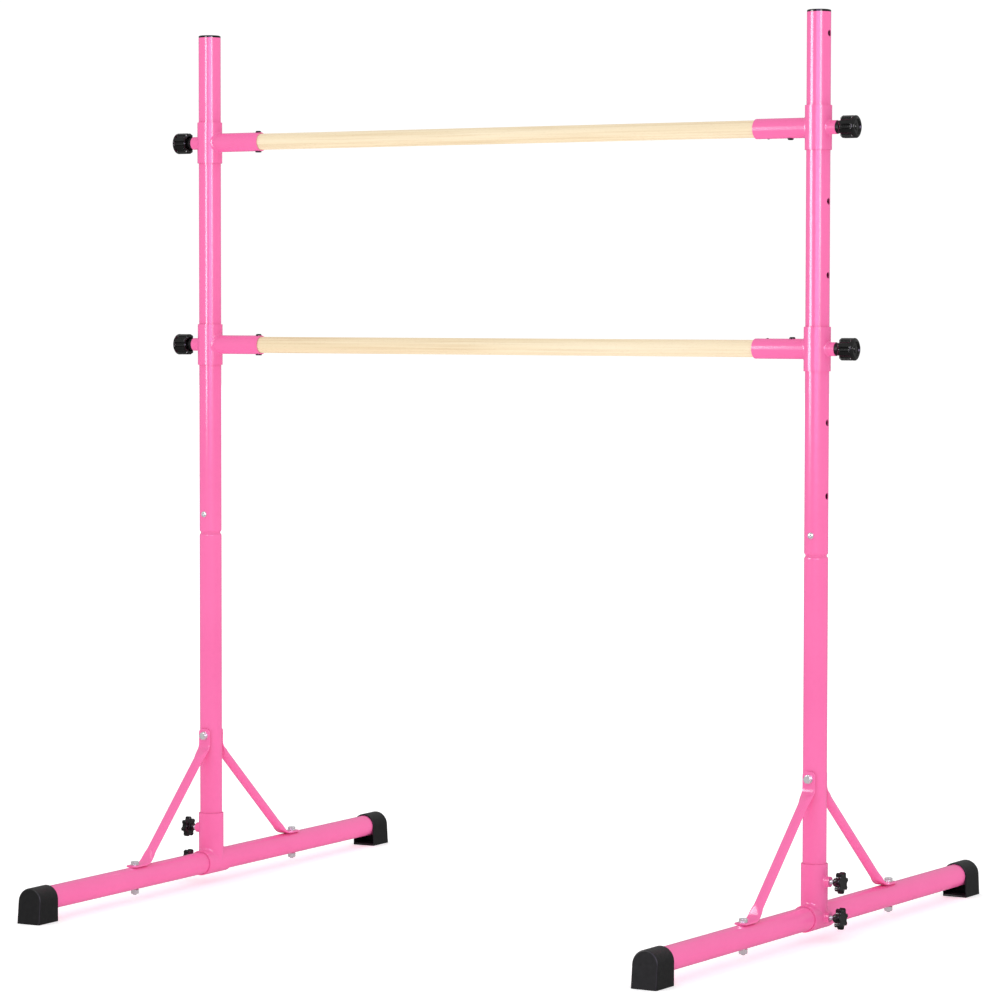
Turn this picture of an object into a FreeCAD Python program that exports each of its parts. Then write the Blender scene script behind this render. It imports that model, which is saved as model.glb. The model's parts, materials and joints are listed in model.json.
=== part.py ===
"""Free-standing double ballet barre: two tube stands and two height-adjustable wooden rails.

Frame: X along the rails (right is +X), Y back, Z up, origin on the floor midway between the
stands. Every size is in millimetres. Each piece is modelled in a frame of its own, with the
outside of its stand towards +X, and its Placement puts it in the object; the left stand's
pieces are turned by 180 degrees about Z. The left foot, its struts and the lower post they
hold are turned a few degrees more, within the play of the joint bolt.
"""
import FreeCAD, Part
import math
import os

import Sketcher
from FreeCAD import Placement, Rotation, Vector

SIZES = [
    ("post_spacing", 987.0, "distance between the axes of the two posts"),
    ("post_outer", 32.0, "outer diameter of posts and foot tubes"),
    ("tube_wall", 1.5, "wall of every tube"),
    ("post_top", 1228.8, "height of the upper post's top end"),
    ("neck_height", 512.0, "height of the seam between lower and upper post"),
    ("neck_gap", 2.4, "half the height of the waist at that seam"),
    ("shoulder", 2.4, "height of the rounded shoulder on each side of the waist"),
    ("spigot_outer", 28.4, "diameter of the lower post's reduced end"),
    ("spigot_top", 572.0, "height of the top of that end"),
    ("rim_inset", 0.9, "how far the upper post's lower rim is turned in"),
    ("joint_bolt_height", 538.6, "height of the bolt that joins the posts"),
    ("upper_rail", 1077.1, "height of the upper rail's axis"),
    ("lower_rail", 785.2, "height of the lower rail's axis"),
    ("hole_pitch", 97.3, "pitch of the height holes"),
    ("hole_lowest", 590.6, "height of the lowest height hole"),
    ("hole_top", 1200.5, "height of the separate top hole"),
    ("hole_bore", 8.8, "diameter of the height holes"),
    ("cap_height", 3.5, "part of the post cap above the post"),
    ("cap_plug", 15.0, "part of the post cap inside the post"),
    ("cap_round", 1.6, "edge radius of the post cap"),
    ("fit_gap", 0.25, "gap between pieces that fit into each other"),
    ("slide_gap", 0.3, "gap all round between a post and what slides on it"),
    ("running_gap", 0.08, "gap all round between a shaft and its bore"),
    ("sleeve_outer", 36.0, "outer diameter of the base and clamp sleeves"),
    ("foot_axis", 30.4, "height of the foot tube's axis"),
    ("foot_reach", 474.0, "from the middle of a foot tube to the outer end of a rubber foot"),
    ("foot_setback", 12.2, "how far the middle of a foot tube lies behind its post"),
    ("left_turn", 3.2, "angle in degrees by which the left foot is turned about its post"),
    ("boot_width", 37.0, "width of a rubber foot"),
    ("boot_length", 45.5, "length of a rubber foot on the floor"),
    ("boot_lean", 5.0, "how far the outer face of a rubber foot leans in at the top"),
    ("boot_end_wall", 10.0, "rubber beyond the end of the foot tube"),
    ("boot_round", 2.2, "edge radius of a rubber foot"),
    ("tee_top", 101.5, "height of the top of the base tee"),
    ("tee_length", 60.0, "length of the tee's horizontal sleeve"),
    ("tee_boss_outer", 14.0, "diameter of the welded nut bosses on the tee"),
    ("tee_boss_end", 24.0, "from the post's axis to the end of a nut boss"),
    ("post_knob_height", 78.2, "height of the star knob that holds the post"),
    ("star_outer", 30.0, "diameter of a star knob"),
    ("star_start", 35.3, "from the post's axis to the back of a star knob"),
    ("star_end", 43.6, "from the post's axis to the face of a star knob"),
    ("star_bevel", 0.9, "bevel on a star knob's edges"),
    ("star_lobes", 7, "lobes of a star knob"),
    ("star_notch", 9.5, "diameter of the notch between two lobes"),
    ("star_notch_reach", 15.8, "from a star knob's axis to the centre of a notch"),
    ("star_hub", 11.0, "diameter of the hub behind a star knob"),
    ("star_hub_start", 29.5, "from the post's axis to the back of that hub"),
    ("stud_outer", 5.9, "diameter of a star knob's stud"),
    ("stud_depth", 6.0, "how deep a stud sits in its knob"),
    ("strut_outer", 13.0, "diameter of a strut"),
    ("strut_wall", 1.2, "wall of a strut"),
    ("strut_flat_width", 18.5, "width of a strut's flattened ends"),
    ("strut_flat", 2.6, "thickness of a strut's flattened ends"),
    ("strut_top", 225.7, "height of a strut's top end"),
    ("strut_bend", 199.0, "height of a strut's upper bend"),
    ("strut_foot_bend", 188.0, "from the middle of the foot tube to a strut's lower bend"),
    ("strut_foot_end", 224.0, "from the middle of the foot tube to a strut's lower end"),
    ("strut_crush", 24.0, "length over which a strut goes from flat to round"),
    ("strut_bolt_height", 215.5, "height of the bolt through both struts and the post"),
    ("foot_bolt_reach", 213.0, "from the middle of the foot tube to a strut's foot bolt"),
    ("bolt_outer", 6.0, "diameter of the strut bolts"),
    ("bolt_bore", 6.6, "diameter of the holes for the strut bolts"),
    ("hex_across", 10.0, "across the flats of the strut bolts and nuts"),
    ("bolt_head", 4.0, "height of a strut bolt's head"),
    ("nut_height", 5.0, "height of a strut nut"),
    ("bolt_proud", 1.8, "how far a bolt stands out of its nut"),
    ("washer_outer", 12.0, "diameter of a washer"),
    ("washer_height", 1.2, "thickness of a washer"),
    ("joint_bolt_outer", 5.0, "diameter of the joint bolt"),
    ("joint_bolt_bore", 5.5, "diameter of its holes in the upper post"),
    ("joint_spigot_bore", 7.2, "diameter of its holes in the spigot, wide enough for the turn"),
    ("joint_head_outer", 8.8, "diameter of the joint bolt's button head"),
    ("joint_head", 2.8, "height of the joint bolt's button head"),
    ("joint_socket", 3.0, "across the flats of its socket"),
    ("joint_socket_depth", 1.6, "depth of its socket"),
    ("joint_hex_across", 8.0, "across the flats of the joint nut"),
    ("joint_nut", 4.0, "height of the joint nut"),
    ("rail_outer", 23.2, "diameter of a wooden bar"),
    ("ferrule_outer", 27.0, "outer diameter of arms and ferrules"),
    ("clamp_height", 58.8, "height of a clamp sleeve"),
    ("arm_reach", 91.0, "from the post's axis to the end of the left arm"),
    ("stub_outer", 23.6, "outer diameter of the right stub"),
    ("stub_reach", 45.0, "from the post's axis to the end of the right stub"),
    ("ferrule_end", 91.7, "from the post's axis to the far end of a ferrule"),
    ("rail_inset", 24.0, "from the left post's axis to the wood's end"),
    ("rail_butt", 46.0, "from the right post's axis to the wood's end"),
    ("arm_screw_reach", 86.0, "from the left post's axis to the arm's screw"),
    ("arm_screw_outer", 5.0, "diameter of the arm's screw"),
    ("arm_screw_bore", 5.3, "diameter of the hole for it"),
    ("arm_nut_across", 8.0, "across the flats of the arm's nut"),
    ("arm_nut", 1.7, "height of the arm's nut"),
    ("ferrule_screw_high", 41.0, "from the right post's axis to the upper ferrule's screw"),
    ("ferrule_screw_low", 37.0, "from the right post's axis to the lower ferrule's screw"),
    ("ferrule_screw_outer", 4.0, "diameter of a ferrule screw"),
    ("ferrule_screw_bore", 4.3, "diameter of the hole for it"),
    ("ferrule_screw_length", 6.0, "length of a ferrule screw under its head"),
    ("pan_head_outer", 8.2, "diameter of the screws' pan heads"),
    ("pan_head", 2.2, "height of the screws' pan heads"),
    ("nail_reach", 74.0, "from the right post's axis to the ferrule's nail"),
    ("nail_outer", 1.8, "diameter of the ferrule's nail"),
    ("nail_bore", 2.0, "diameter of the hole for it"),
    ("nail_head_outer", 3.2, "diameter of the nail's head"),
    ("nail_head", 0.7, "height of the nail's head"),
    ("nail_length", 9.0, "length of the nail under its head"),
    ("pin_boss_outer", 18.4, "diameter of the boss that holds a pull pin"),
    ("pin_boss_end", 28.2, "from the post's axis to the end of that boss"),
    ("barrel_thread", 12.0, "diameter of a pin barrel in its boss"),
    ("barrel_start", 18.4, "from the post's axis to the inner end of a barrel"),
    ("barrel_lip", 1.1, "thickness of a barrel's inner and outer lips"),
    ("barrel_flange_outer", 16.8, "diameter of a barrel's flange"),
    ("barrel_flange_end", 33.0, "from the post's axis to the outside of that flange"),
    ("barrel_end", 40.0, "from the post's axis to the outer end of a barrel"),
    ("barrel_bore", 9.6, "diameter of a barrel's spring chamber"),
    ("pin_outer", 8.0, "diameter of a pin's nose"),
    ("pin_collar", 9.0, "diameter of the collar that the spring pushes on"),
    ("pin_collar_width", 2.0, "width of that collar"),
    ("pin_rod", 5.0, "diameter of the rod between collar and knob"),
    ("pin_rod_end", 52.5, "from the post's axis to the outer end of the rod"),
    ("spring_wire", 0.9, "diameter of a pin spring's wire"),
    ("spring_turns", 6, "turns of a pin spring"),
    ("knob_start", 35.8, "from the post's axis to the back of a pull knob"),
    ("knob_end", 57.8, "from the post's axis to the face of a pull knob"),
    ("knob_outer", 30.0, "diameter of a pull knob"),
    ("knob_back_bevel", 1.2, "bevel on the back edge of a pull knob"),
    ("knob_nose", 4.5, "length of the smooth ring at a pull knob's face"),
    ("knob_bevel", 2.4, "bevel on the front edge of that ring"),
    ("knob_recess_outer", 21.0, "diameter of the recess in a pull knob's back"),
    ("knob_recess", 7.0, "depth of that recess"),
    ("knob_dish_outer", 18.0, "diameter of the dish in a pull knob's face"),
    ("knob_dish", 1.2, "depth of that dish"),
    ("knob_flutes", 8, "flutes of a pull knob"),
    ("knob_flute_outer", 6.5, "diameter of the cutter for a flute"),
    ("knob_flute_reach", 16.6, "from a pull knob's axis to the centre of a flute"),
]

LEFT_POST = "-Sizes.post_spacing / 2"
RIGHT_POST = "Sizes.post_spacing / 2"
POST_BACK = "-Sizes.foot_setback"
SIDES = {"left": (LEFT_POST, 180.0), "right": (RIGHT_POST, 0.0)}
ENDS = {"front": ("-1", 180.0), "rear": ("1", 0.0)}
RAILS = {"lower": "Sizes.lower_rail", "upper": "Sizes.upper_rail"}
FRONT = Vector(0, -1, 0)
BACK = Vector(0, 1, 0)
UP = Vector(0, 0, 1)
DOWN = Vector(0, 0, -1)

doc = FreeCAD.newDocument("double_barre")
sheet = doc.addObject("Spreadsheet::Sheet", "Sizes")
for row, (alias, value, meaning) in enumerate(SIZES, start=1):
    sheet.set(f"A{row}", meaning)
    sheet.set(f"B{row}", str(value))
    sheet.setAlias(f"B{row}", alias)
doc.recompute()

pieces = []


# ------------------------------------------------------------------ sketches and features
def number(expression):
    """Return the value of an expression over the sheet, in millimetres."""
    result = sheet.evalExpression(expression)
    return float(getattr(result, "Value", result))


def new_body(label):
    """Start a piece that is built from sketches and features."""
    body = doc.addObject("PartDesign::Body", label)
    body.Label = label
    return body


def new_sketch(body, role, offset=("0", "0", "0")):
    """Return a sketch on one of the body's own planes, shifted in the plane's own directions."""
    sketch = body.newObject("Sketcher::SketchObject", f"{body.Label}_sketch")
    plane = next(item for item in body.Origin.OriginFeatures if item.Role == role)
    sketch.AttachmentSupport = [(plane, "")]
    sketch.MapMode = "FlatFace"
    for direction, expression in zip("xyz", offset):
        sketch.setExpression(f"AttachmentOffset.Base.{direction}", expression)
    return sketch


def bind(sketch, constraint, expression):
    """Add a dimension to a sketch and bind it to an expression."""
    index = sketch.addConstraint(constraint)
    sketch.setExpression(f"Constraints[{index}]", expression)


def add_circle(sketch, diameter):
    """Draw a circle about the sketch's origin."""
    radius = number(diameter) / 2
    circle = sketch.addGeometry(Part.Circle(Vector(), UP, radius), False)
    sketch.addConstraint(Sketcher.Constraint("Coincident", circle, 3, -1, 1))
    bind(sketch, Sketcher.Constraint("Diameter", circle, 2 * radius), diameter)


def add_outline(sketch, points):
    """Draw a closed outline of straight lines through points given as pairs of expressions."""
    corners = [Vector(number(x), number(y), 0) for x, y in points]
    following = corners[1:] + corners[:1]
    lines = [
        sketch.addGeometry(Part.LineSegment(start, end), False)
        for start, end in zip(corners, following)
    ]
    for line, following_line in zip(lines, lines[1:] + lines[:1]):
        sketch.addConstraint(Sketcher.Constraint("Coincident", line, 2, following_line, 1))
    for line, corner, (x, y) in zip(lines, corners, points):
        for kind, axis, place, expression in (
            ("DistanceX", -2, corner.x, x),
            ("DistanceY", -1, corner.y, y),
        ):
            if place == 0:
                sketch.addConstraint(Sketcher.Constraint("PointOnObject", line, 1, axis))
            else:
                bind(sketch, Sketcher.Constraint(kind, -1, 1, line, 1, place), expression)


def add_hexagon(sketch, across):
    """Draw a regular hexagon about the sketch's origin, given its width across the flats."""
    radius = f"{across} / 2 / cos(30 deg)"
    points = [
        (f"{radius} * cos({60 * corner} deg)", f"{radius} * sin({60 * corner} deg)")
        for corner in range(6)
    ]
    add_outline(sketch, points)


def extrude(body, kind, axis, start, length, draw, centre=("0", "0")):
    """Pad or pocket a drawing from start along the positive direction of an axis."""
    role = {"X": "YZ_Plane", "Y": "XZ_Plane", "Z": "XY_Plane"}[axis]
    along = f"-({start})" if axis == "Y" else start
    sketch = new_sketch(body, role, (centre[0], centre[1], along))
    draw(sketch)
    feature = body.newObject(f"PartDesign::{kind}", f"{body.Label}_{kind.lower()}")
    feature.Profile = sketch
    feature.setExpression("Length", length)
    feature.Reversed = (kind == "Pad") == (axis == "Y")
    return feature


def rod(body, axis, start, length, diameter, centre=("0", "0")):
    """Add a solid cylinder."""
    return extrude(body, "Pad", axis, start, length, lambda s: add_circle(s, diameter), centre)


def tube(body, axis, start, length, outer, inner, centre=("0", "0")):
    """Add a tube."""
    def draw(sketch):
        add_circle(sketch, outer)
        add_circle(sketch, inner)
    return extrude(body, "Pad", axis, start, length, draw, centre)


def bore(body, axis, start, length, diameter, centre=("0", "0")):
    """Cut a round hole."""
    return extrude(body, "Pocket", axis, start, length, lambda s: add_circle(s, diameter), centre)


def turn_profile(body, axis, points):
    """Revolve an outline of (along, radius) points about one of the body's own axes."""
    upright = axis == "Z"
    sketch = new_sketch(body, "XZ_Plane")
    add_outline(sketch, [(radius, along) if upright else (along, radius) for along, radius in points])
    feature = body.newObject("PartDesign::Revolution", f"{body.Label}_turned")
    feature.Profile = sketch
    feature.ReferenceAxis = (sketch, ["V_Axis" if upright else "H_Axis"])
    return feature


def repeat_round(body, feature, count):
    """Repeat the last feature about the normal of its own body's YZ plane."""
    axis = next(item for item in body.Origin.OriginFeatures if item.Role == "X_Axis")
    pattern = body.newObject("PartDesign::PolarPattern", f"{body.Label}_pattern")
    pattern.Originals = [feature]
    pattern.Axis = (axis, [""])
    pattern.Angle = 360
    pattern.setExpression("Occurrences", count)
    body.Tip = pattern


def repeat_up(body, feature, length, count):
    """Repeat the last feature upwards."""
    axis = next(item for item in body.Origin.OriginFeatures if item.Role == "Z_Axis")
    pattern = body.newObject("PartDesign::LinearPattern", f"{body.Label}_pattern")
    pattern.Originals = [feature]
    pattern.Direction = (axis, [""])
    pattern.setExpression("Length", length)
    pattern.Occurrences = count
    body.Tip = pattern


def round_edges(body, radius, wanted):
    """Round the edges of the body's last feature that a test picks."""
    doc.recompute()
    last = body.Tip
    names = [
        f"Edge{index}" for index, edge in enumerate(last.Shape.Edges, start=1) if wanted(edge)
    ]
    fillet = body.newObject("PartDesign::Fillet", f"{body.Label}_round")
    fillet.Base = (last, names)
    fillet.setExpression("Radius", radius)


def place(piece, across, back, up, turn=0.0):
    """Put a piece at a place given by expressions, turned about the vertical, and keep it."""
    piece.Placement = Placement(Vector(), Rotation(UP, turn))
    locate(piece, across, back, up)
    pieces.append(piece)


def locate(piece, across, back, up):
    """Bind the three coordinates of a piece's place."""
    for direction, expression in zip("xyz", (across, back, up)):
        piece.setExpression(f"Placement.Base.{direction}", expression)


def aim(piece, direction, across, back, up):
    """Point a fastener's own +Z in a direction and put its seat at a place."""
    piece.Placement = Placement(Vector(), Rotation(UP, direction))
    locate(piece, across, back, up)
    return piece


def group(label, members):
    """Keep several identical fasteners as separate solids of one piece."""
    compound = doc.addObject("Part::Compound", label)
    compound.Label = label
    compound.Links = members
    pieces.append(compound)


# ------------------------------------------------------------------ stands
def foot_turn(side):
    """Return the angle by which a stand's foot is turned about its post."""
    return number("Sizes.left_turn") if side == "left" else 0.0


def on_stand(side, label, members):
    """Keep the fasteners of one foot together and put them at its post."""
    compound = doc.addObject("Part::Compound", f"{side}_{label}")
    compound.Links = members
    compound.Placement = Placement(Vector(), Rotation(UP, foot_turn(side)))
    locate(compound, SIDES[side][0], POST_BACK, "0")
    return compound


def base_tee(side):
    """Upright sleeve welded on a foot sleeve, each with a threaded boss on the outer side."""
    across, turn = SIDES[side]
    sleeve_bore = "Sizes.post_outer + 2 * Sizes.fit_gap"
    stud_bore = "Sizes.stud_outer + 2 * Sizes.running_gap"
    body = new_body(f"{side}_base_tee")
    tube(body, "Z", "Sizes.foot_axis", "Sizes.tee_top - Sizes.foot_axis",
         "Sizes.sleeve_outer", sleeve_bore)
    rod(body, "Y", "-Sizes.tee_length / 2", "Sizes.tee_length", "Sizes.sleeve_outer",
        ("0", "Sizes.foot_axis"))
    bore(body, "Y", "-Sizes.tee_length / 2", "Sizes.tee_length", sleeve_bore,
         ("0", "Sizes.foot_axis"))
    for height in ("Sizes.post_knob_height", "Sizes.foot_axis"):
        boss_start = "(Sizes.post_outer + Sizes.sleeve_outer) / 4"
        rod(body, "X", boss_start, f"Sizes.tee_boss_end - {boss_start}",
            "Sizes.tee_boss_outer", ("0", height))
        bore(body, "X", "Sizes.post_outer / 4", "Sizes.tee_boss_end", stud_bore, ("0", height))
    place(body, across, POST_BACK, "0", turn + foot_turn(side))


def foot_tube(side):
    """Floor tube that passes through the tee and ends inside the rubber feet."""
    reach = "(Sizes.foot_reach - Sizes.boot_end_wall)"
    body = new_body(f"{side}_foot_tube")
    tube(body, "Y", f"Sizes.foot_setback - {reach}", f"2 * {reach}", "Sizes.post_outer",
         "Sizes.post_outer - 2 * Sizes.tube_wall")
    for sign, _ in ENDS.values():
        bore(body, "Z", "-Sizes.post_outer", "2 * Sizes.post_outer", "Sizes.bolt_bore",
             ("0", f"{sign} * Sizes.foot_bolt_reach + Sizes.foot_setback"))
    place(body, SIDES[side][0], POST_BACK, "Sizes.foot_axis", foot_turn(side))


def rubber_foot(side, end):
    """Arched rubber boot, pushed over the end of the foot tube."""
    sign, turn = ENDS[end]
    reach = f"(Sizes.foot_reach + {sign} * Sizes.foot_setback)"
    inner_face = f"({reach} - Sizes.boot_length)"
    half = "Sizes.boot_width / 2"
    body = new_body(f"{side}_{end}_foot")

    def draw_block(sketch):
        add_outline(sketch, [
            (f"-{half}", "0"), (half, "0"), (half, "Sizes.foot_axis"), (f"-{half}", "Sizes.foot_axis"),
        ])

    def draw_lean(sketch):
        crown = "Sizes.foot_axis + Sizes.boot_width / 2"
        add_outline(sketch, [
            (reach, "0"), (f"{reach} + Sizes.boot_lean", crown),
            (f"{reach} - Sizes.boot_lean", crown),
        ])

    extrude(body, "Pad", "Y", inner_face, "Sizes.boot_length", draw_block)
    rod(body, "Y", inner_face, "Sizes.boot_length", "Sizes.boot_width", ("0", "Sizes.foot_axis"))
    extrude(body, "Pocket", "X", "-Sizes.boot_width", "2 * Sizes.boot_width", draw_lean)
    outer_limit = number(inner_face) + number("Sizes.boot_length") / 2
    round_edges(body, "Sizes.boot_round", lambda edge: edge.BoundBox.YMin > outer_limit
                and edge.BoundBox.ZMax > 1)
    bore(body, "Y", inner_face, "Sizes.boot_length - Sizes.boot_end_wall", "Sizes.post_outer",
         ("0", "Sizes.foot_axis"))
    place(body, SIDES[side][0], POST_BACK, "0", turn + foot_turn(side))


def lower_post(side):
    """Lower half of the post, reduced at its top to a spigot for the upper half."""
    across, turn = SIDES[side]
    outer = "Sizes.post_outer / 2"
    spigot = "Sizes.spigot_outer / 2"
    seat = "Sizes.foot_axis + Sizes.sleeve_outer / 2 + Sizes.slide_gap"
    waist = "Sizes.neck_height - Sizes.neck_gap / 2"
    shoulder = f"{waist} - Sizes.shoulder"
    body = new_body(f"{side}_lower_post")
    turn_profile(body, "Z", [
        (seat, outer), (shoulder, outer), (waist, spigot), ("Sizes.spigot_top", spigot),
        ("Sizes.spigot_top", f"{spigot} - Sizes.tube_wall"),
        (waist, f"{spigot} - Sizes.tube_wall"), (shoulder, f"{outer} - Sizes.tube_wall"),
        (seat, f"{outer} - Sizes.tube_wall"),
    ])
    round_edges(body, "Sizes.shoulder", lambda edge: edge.Closed
                and abs(edge.BoundBox.ZMin - number(shoulder)) < 0.01
                and edge.BoundBox.XMax > number(outer) - 0.01)
    bore(body, "Y", "-Sizes.post_outer", "2 * Sizes.post_outer", "Sizes.bolt_bore",
         ("0", "Sizes.strut_bolt_height"))
    bore(body, "Y", "-Sizes.post_outer", "2 * Sizes.post_outer", "Sizes.joint_spigot_bore",
         ("0", "Sizes.joint_bolt_height"))
    place(body, across, POST_BACK, "0", turn + foot_turn(side))


def upper_post(side):
    """Upper half of the post, with the height holes on its outer side."""
    across, turn = SIDES[side]
    outer = "Sizes.post_outer / 2"
    inner = f"{outer} - Sizes.tube_wall"
    rim = "Sizes.neck_height + Sizes.neck_gap / 2"
    body = new_body(f"{side}_upper_post")
    turn_profile(body, "Z", [
        (rim, f"{outer} - Sizes.rim_inset"), (f"{rim} + Sizes.shoulder", outer),
        ("Sizes.post_top", outer), ("Sizes.post_top", inner), (rim, inner),
    ])
    bore(body, "Y", "-Sizes.post_outer", "2 * Sizes.post_outer", "Sizes.joint_bolt_bore",
         ("0", "Sizes.joint_bolt_height"))
    bore(body, "X", "0", "Sizes.post_outer", "Sizes.hole_bore", ("0", "Sizes.hole_top"))
    lowest = bore(body, "X", "0", "Sizes.post_outer", "Sizes.hole_bore",
                  ("0", "Sizes.hole_lowest"))
    rise = "(Sizes.upper_rail - Sizes.hole_lowest)"
    repeat_up(body, lowest, rise, round(number(f"{rise} / Sizes.hole_pitch")) + 1)
    place(body, across, POST_BACK, "0", turn)


def post_cap(side):
    """Cap with a hollow plug that closes the top of the post."""
    plug = "Sizes.post_outer / 2 - Sizes.tube_wall - Sizes.fit_gap"
    body = new_body(f"{side}_post_cap")
    turn_profile(body, "Z", [
        ("0", "Sizes.post_outer / 2"), ("Sizes.cap_height", "Sizes.post_outer / 2"),
        ("Sizes.cap_height", "0"), ("0", "0"), ("0", f"{plug} - Sizes.tube_wall"),
        ("-Sizes.cap_plug", f"{plug} - Sizes.tube_wall"), ("-Sizes.cap_plug", plug), ("0", plug),
    ])
    crown = number("Sizes.cap_height")
    round_edges(body, "Sizes.cap_round", lambda edge: edge.BoundBox.ZMin > crown - 0.01)
    place(body, SIDES[side][0], POST_BACK, "Sizes.post_top")


def strut_section(centre, heading, half_width, half_depth, bulge):
    """Return a four-sided section across a strut; each side is an arc when it bulges."""
    depth_way = Vector(0, -heading.z, heading.y)
    width_way = Vector(1, 0, 0)
    signs = [(1, 1), (-1, 1), (-1, -1), (1, -1)]
    corners = [
        centre + width_way * (half_width * a) + depth_way * (half_depth * b) for a, b in signs
    ]
    edges = []
    for start, end in zip(corners, corners[1:] + corners[:1]):
        if bulge:
            outward = ((start + end) / 2 - centre).normalize()
            edges.append(Part.Arc(start, centre + outward * bulge, end).toShape())
        else:
            edges.append(Part.LineSegment(start, end).toShape())
    return Part.Wire(edges)


def strut(side, end):
    """Thin tube with flattened, bent ends, from the post down to the foot tube."""
    flat = number("Sizes.strut_flat")
    plate_y = number("Sizes.post_outer / 2 + Sizes.fit_gap / 5") + flat / 2
    plate_z = number("Sizes.foot_axis + Sizes.post_outer / 2 + Sizes.fit_gap / 5") + flat / 2
    top = Vector(0, plate_y, number("Sizes.strut_top"))
    upper_bend = Vector(0, plate_y, number("Sizes.strut_bend"))
    sign, turn = ENDS[end]
    shift = number(f"{sign} * Sizes.foot_setback")
    lower_bend = Vector(0, number("Sizes.strut_foot_bend") + shift, plate_z)
    tip = Vector(0, number("Sizes.strut_foot_end") + shift, plate_z)
    slope = (lower_bend - upper_bend).normalize()
    crush = slope * number("Sizes.strut_crush")
    bend_in = number("Sizes.strut_outer") / 4

    radius = number("Sizes.strut_outer") / 2
    chord = radius * math.sqrt(0.5)
    half_width = number("Sizes.strut_flat_width") / 2
    plate = (half_width, flat / 2, 0)
    pinched = (half_width, 0.75 * flat, 0)
    full = (chord, chord, radius)
    stations = [
        (top, DOWN, plate),
        (upper_bend + UP * bend_in, DOWN, plate),
        (upper_bend + slope * bend_in, slope, pinched),
        (upper_bend + crush, slope, full),
        (lower_bend - crush, slope, full),
        (lower_bend - slope * bend_in, slope, pinched),
        (lower_bend + BACK * bend_in, BACK, plate),
        (tip, BACK, plate),
    ]
    sections = [strut_section(centre, heading, *shape) for centre, heading, shape in stations]
    solid = Part.makeLoft(sections, True, True)

    inside = (lower_bend - upper_bend).Length - 2 * crush.Length
    solid = solid.cut(Part.makeCylinder(
        radius - number("Sizes.strut_wall"), inside, upper_bend + crush, slope))
    bolt_radius = number("Sizes.bolt_bore") / 2
    reach = number("Sizes.post_outer")
    solid = solid.cut(Part.makeCylinder(
        bolt_radius, reach, Vector(0, 0, number("Sizes.strut_bolt_height")), BACK))
    foot_bolt = Vector(0, number("Sizes.foot_bolt_reach") + shift, plate_z - reach / 2)
    solid = solid.cut(Part.makeCylinder(bolt_radius, reach, foot_bolt, UP))

    piece = doc.addObject("Part::Feature", f"{side}_{end}_strut")
    piece.Label = f"{side}_{end}_strut"
    piece.Shape = solid
    place(piece, SIDES[side][0], POST_BACK, "0", turn + foot_turn(side))


# ------------------------------------------------------------------ fasteners
def primitive(kind, name, **sizes):
    """Return a Part primitive whose sizes are bound to expressions."""
    shape = doc.addObject(f"Part::{kind}", name)
    for size, expression in sizes.items():
        shape.setExpression(size, expression)
    return shape


def hexagon(name, across, height):
    """Return a hexagonal prism, given its width across the flats."""
    prism = primitive("Prism", name, Circumradius=f"{across} / 2 / cos(30 deg)", Height=height)
    prism.Polygon = 6
    return prism


def joined(name, first, second):
    """Return two shapes fused into one solid."""
    fused = doc.addObject("Part::Fuse", name)
    fused.Base = first
    fused.Tool = second
    return fused


def headed(name, head, diameter, length):
    """Return a head, seated at height zero, with a plain shank below it."""
    shank = primitive("Cylinder", f"{name}_shank", Radius=f"{diameter} / 2", Height=length)
    shank.setExpression("Placement.Base.z", f"-({length})")
    return joined(name, head, shank)


def hex_bolt(name, length):
    """Return a strut bolt."""
    head = hexagon(f"{name}_head", "Sizes.hex_across", "Sizes.bolt_head")
    return headed(name, head, "Sizes.bolt_outer", length)


def pan_screw(name, diameter, length):
    """Return a pan-head screw."""
    head = primitive("Cylinder", f"{name}_head", Radius="Sizes.pan_head_outer / 2",
                     Height="Sizes.pan_head")
    rim = doc.addObject("Part::Fillet", f"{name}_rim")
    rim.Base = head
    doc.recompute()
    crown = number("Sizes.pan_head")
    rim_radius = crown / 2
    rim.Edges = [
        (index, rim_radius, rim_radius)
        for index, edge in enumerate(head.Shape.Edges, start=1)
        if edge.BoundBox.ZMin > crown - 0.01
    ]
    return headed(name, rim, diameter, length)


def without_bore(name, blank, diameter, depth):
    """Return a blank with a round hole through it."""
    tool = primitive("Cylinder", f"{name}_hole", Radius=f"{diameter} / 2", Height=depth)
    cut = doc.addObject("Part::Cut", name)
    cut.Base = blank
    cut.Tool = tool
    return cut


def nut(name, across, height, diameter):
    """Return a hexagonal nut that sits on height zero."""
    blank = hexagon(f"{name}_blank", across, height)
    return without_bore(name, blank, f"({diameter} + 2 * Sizes.running_gap)", height)


def washer(name):
    """Return a flat washer that sits on height zero."""
    blank = primitive("Cylinder", f"{name}_blank", Radius="Sizes.washer_outer / 2",
                      Height="Sizes.washer_height")
    return without_bore(name, blank, "Sizes.bolt_bore", "Sizes.washer_height")


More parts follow.
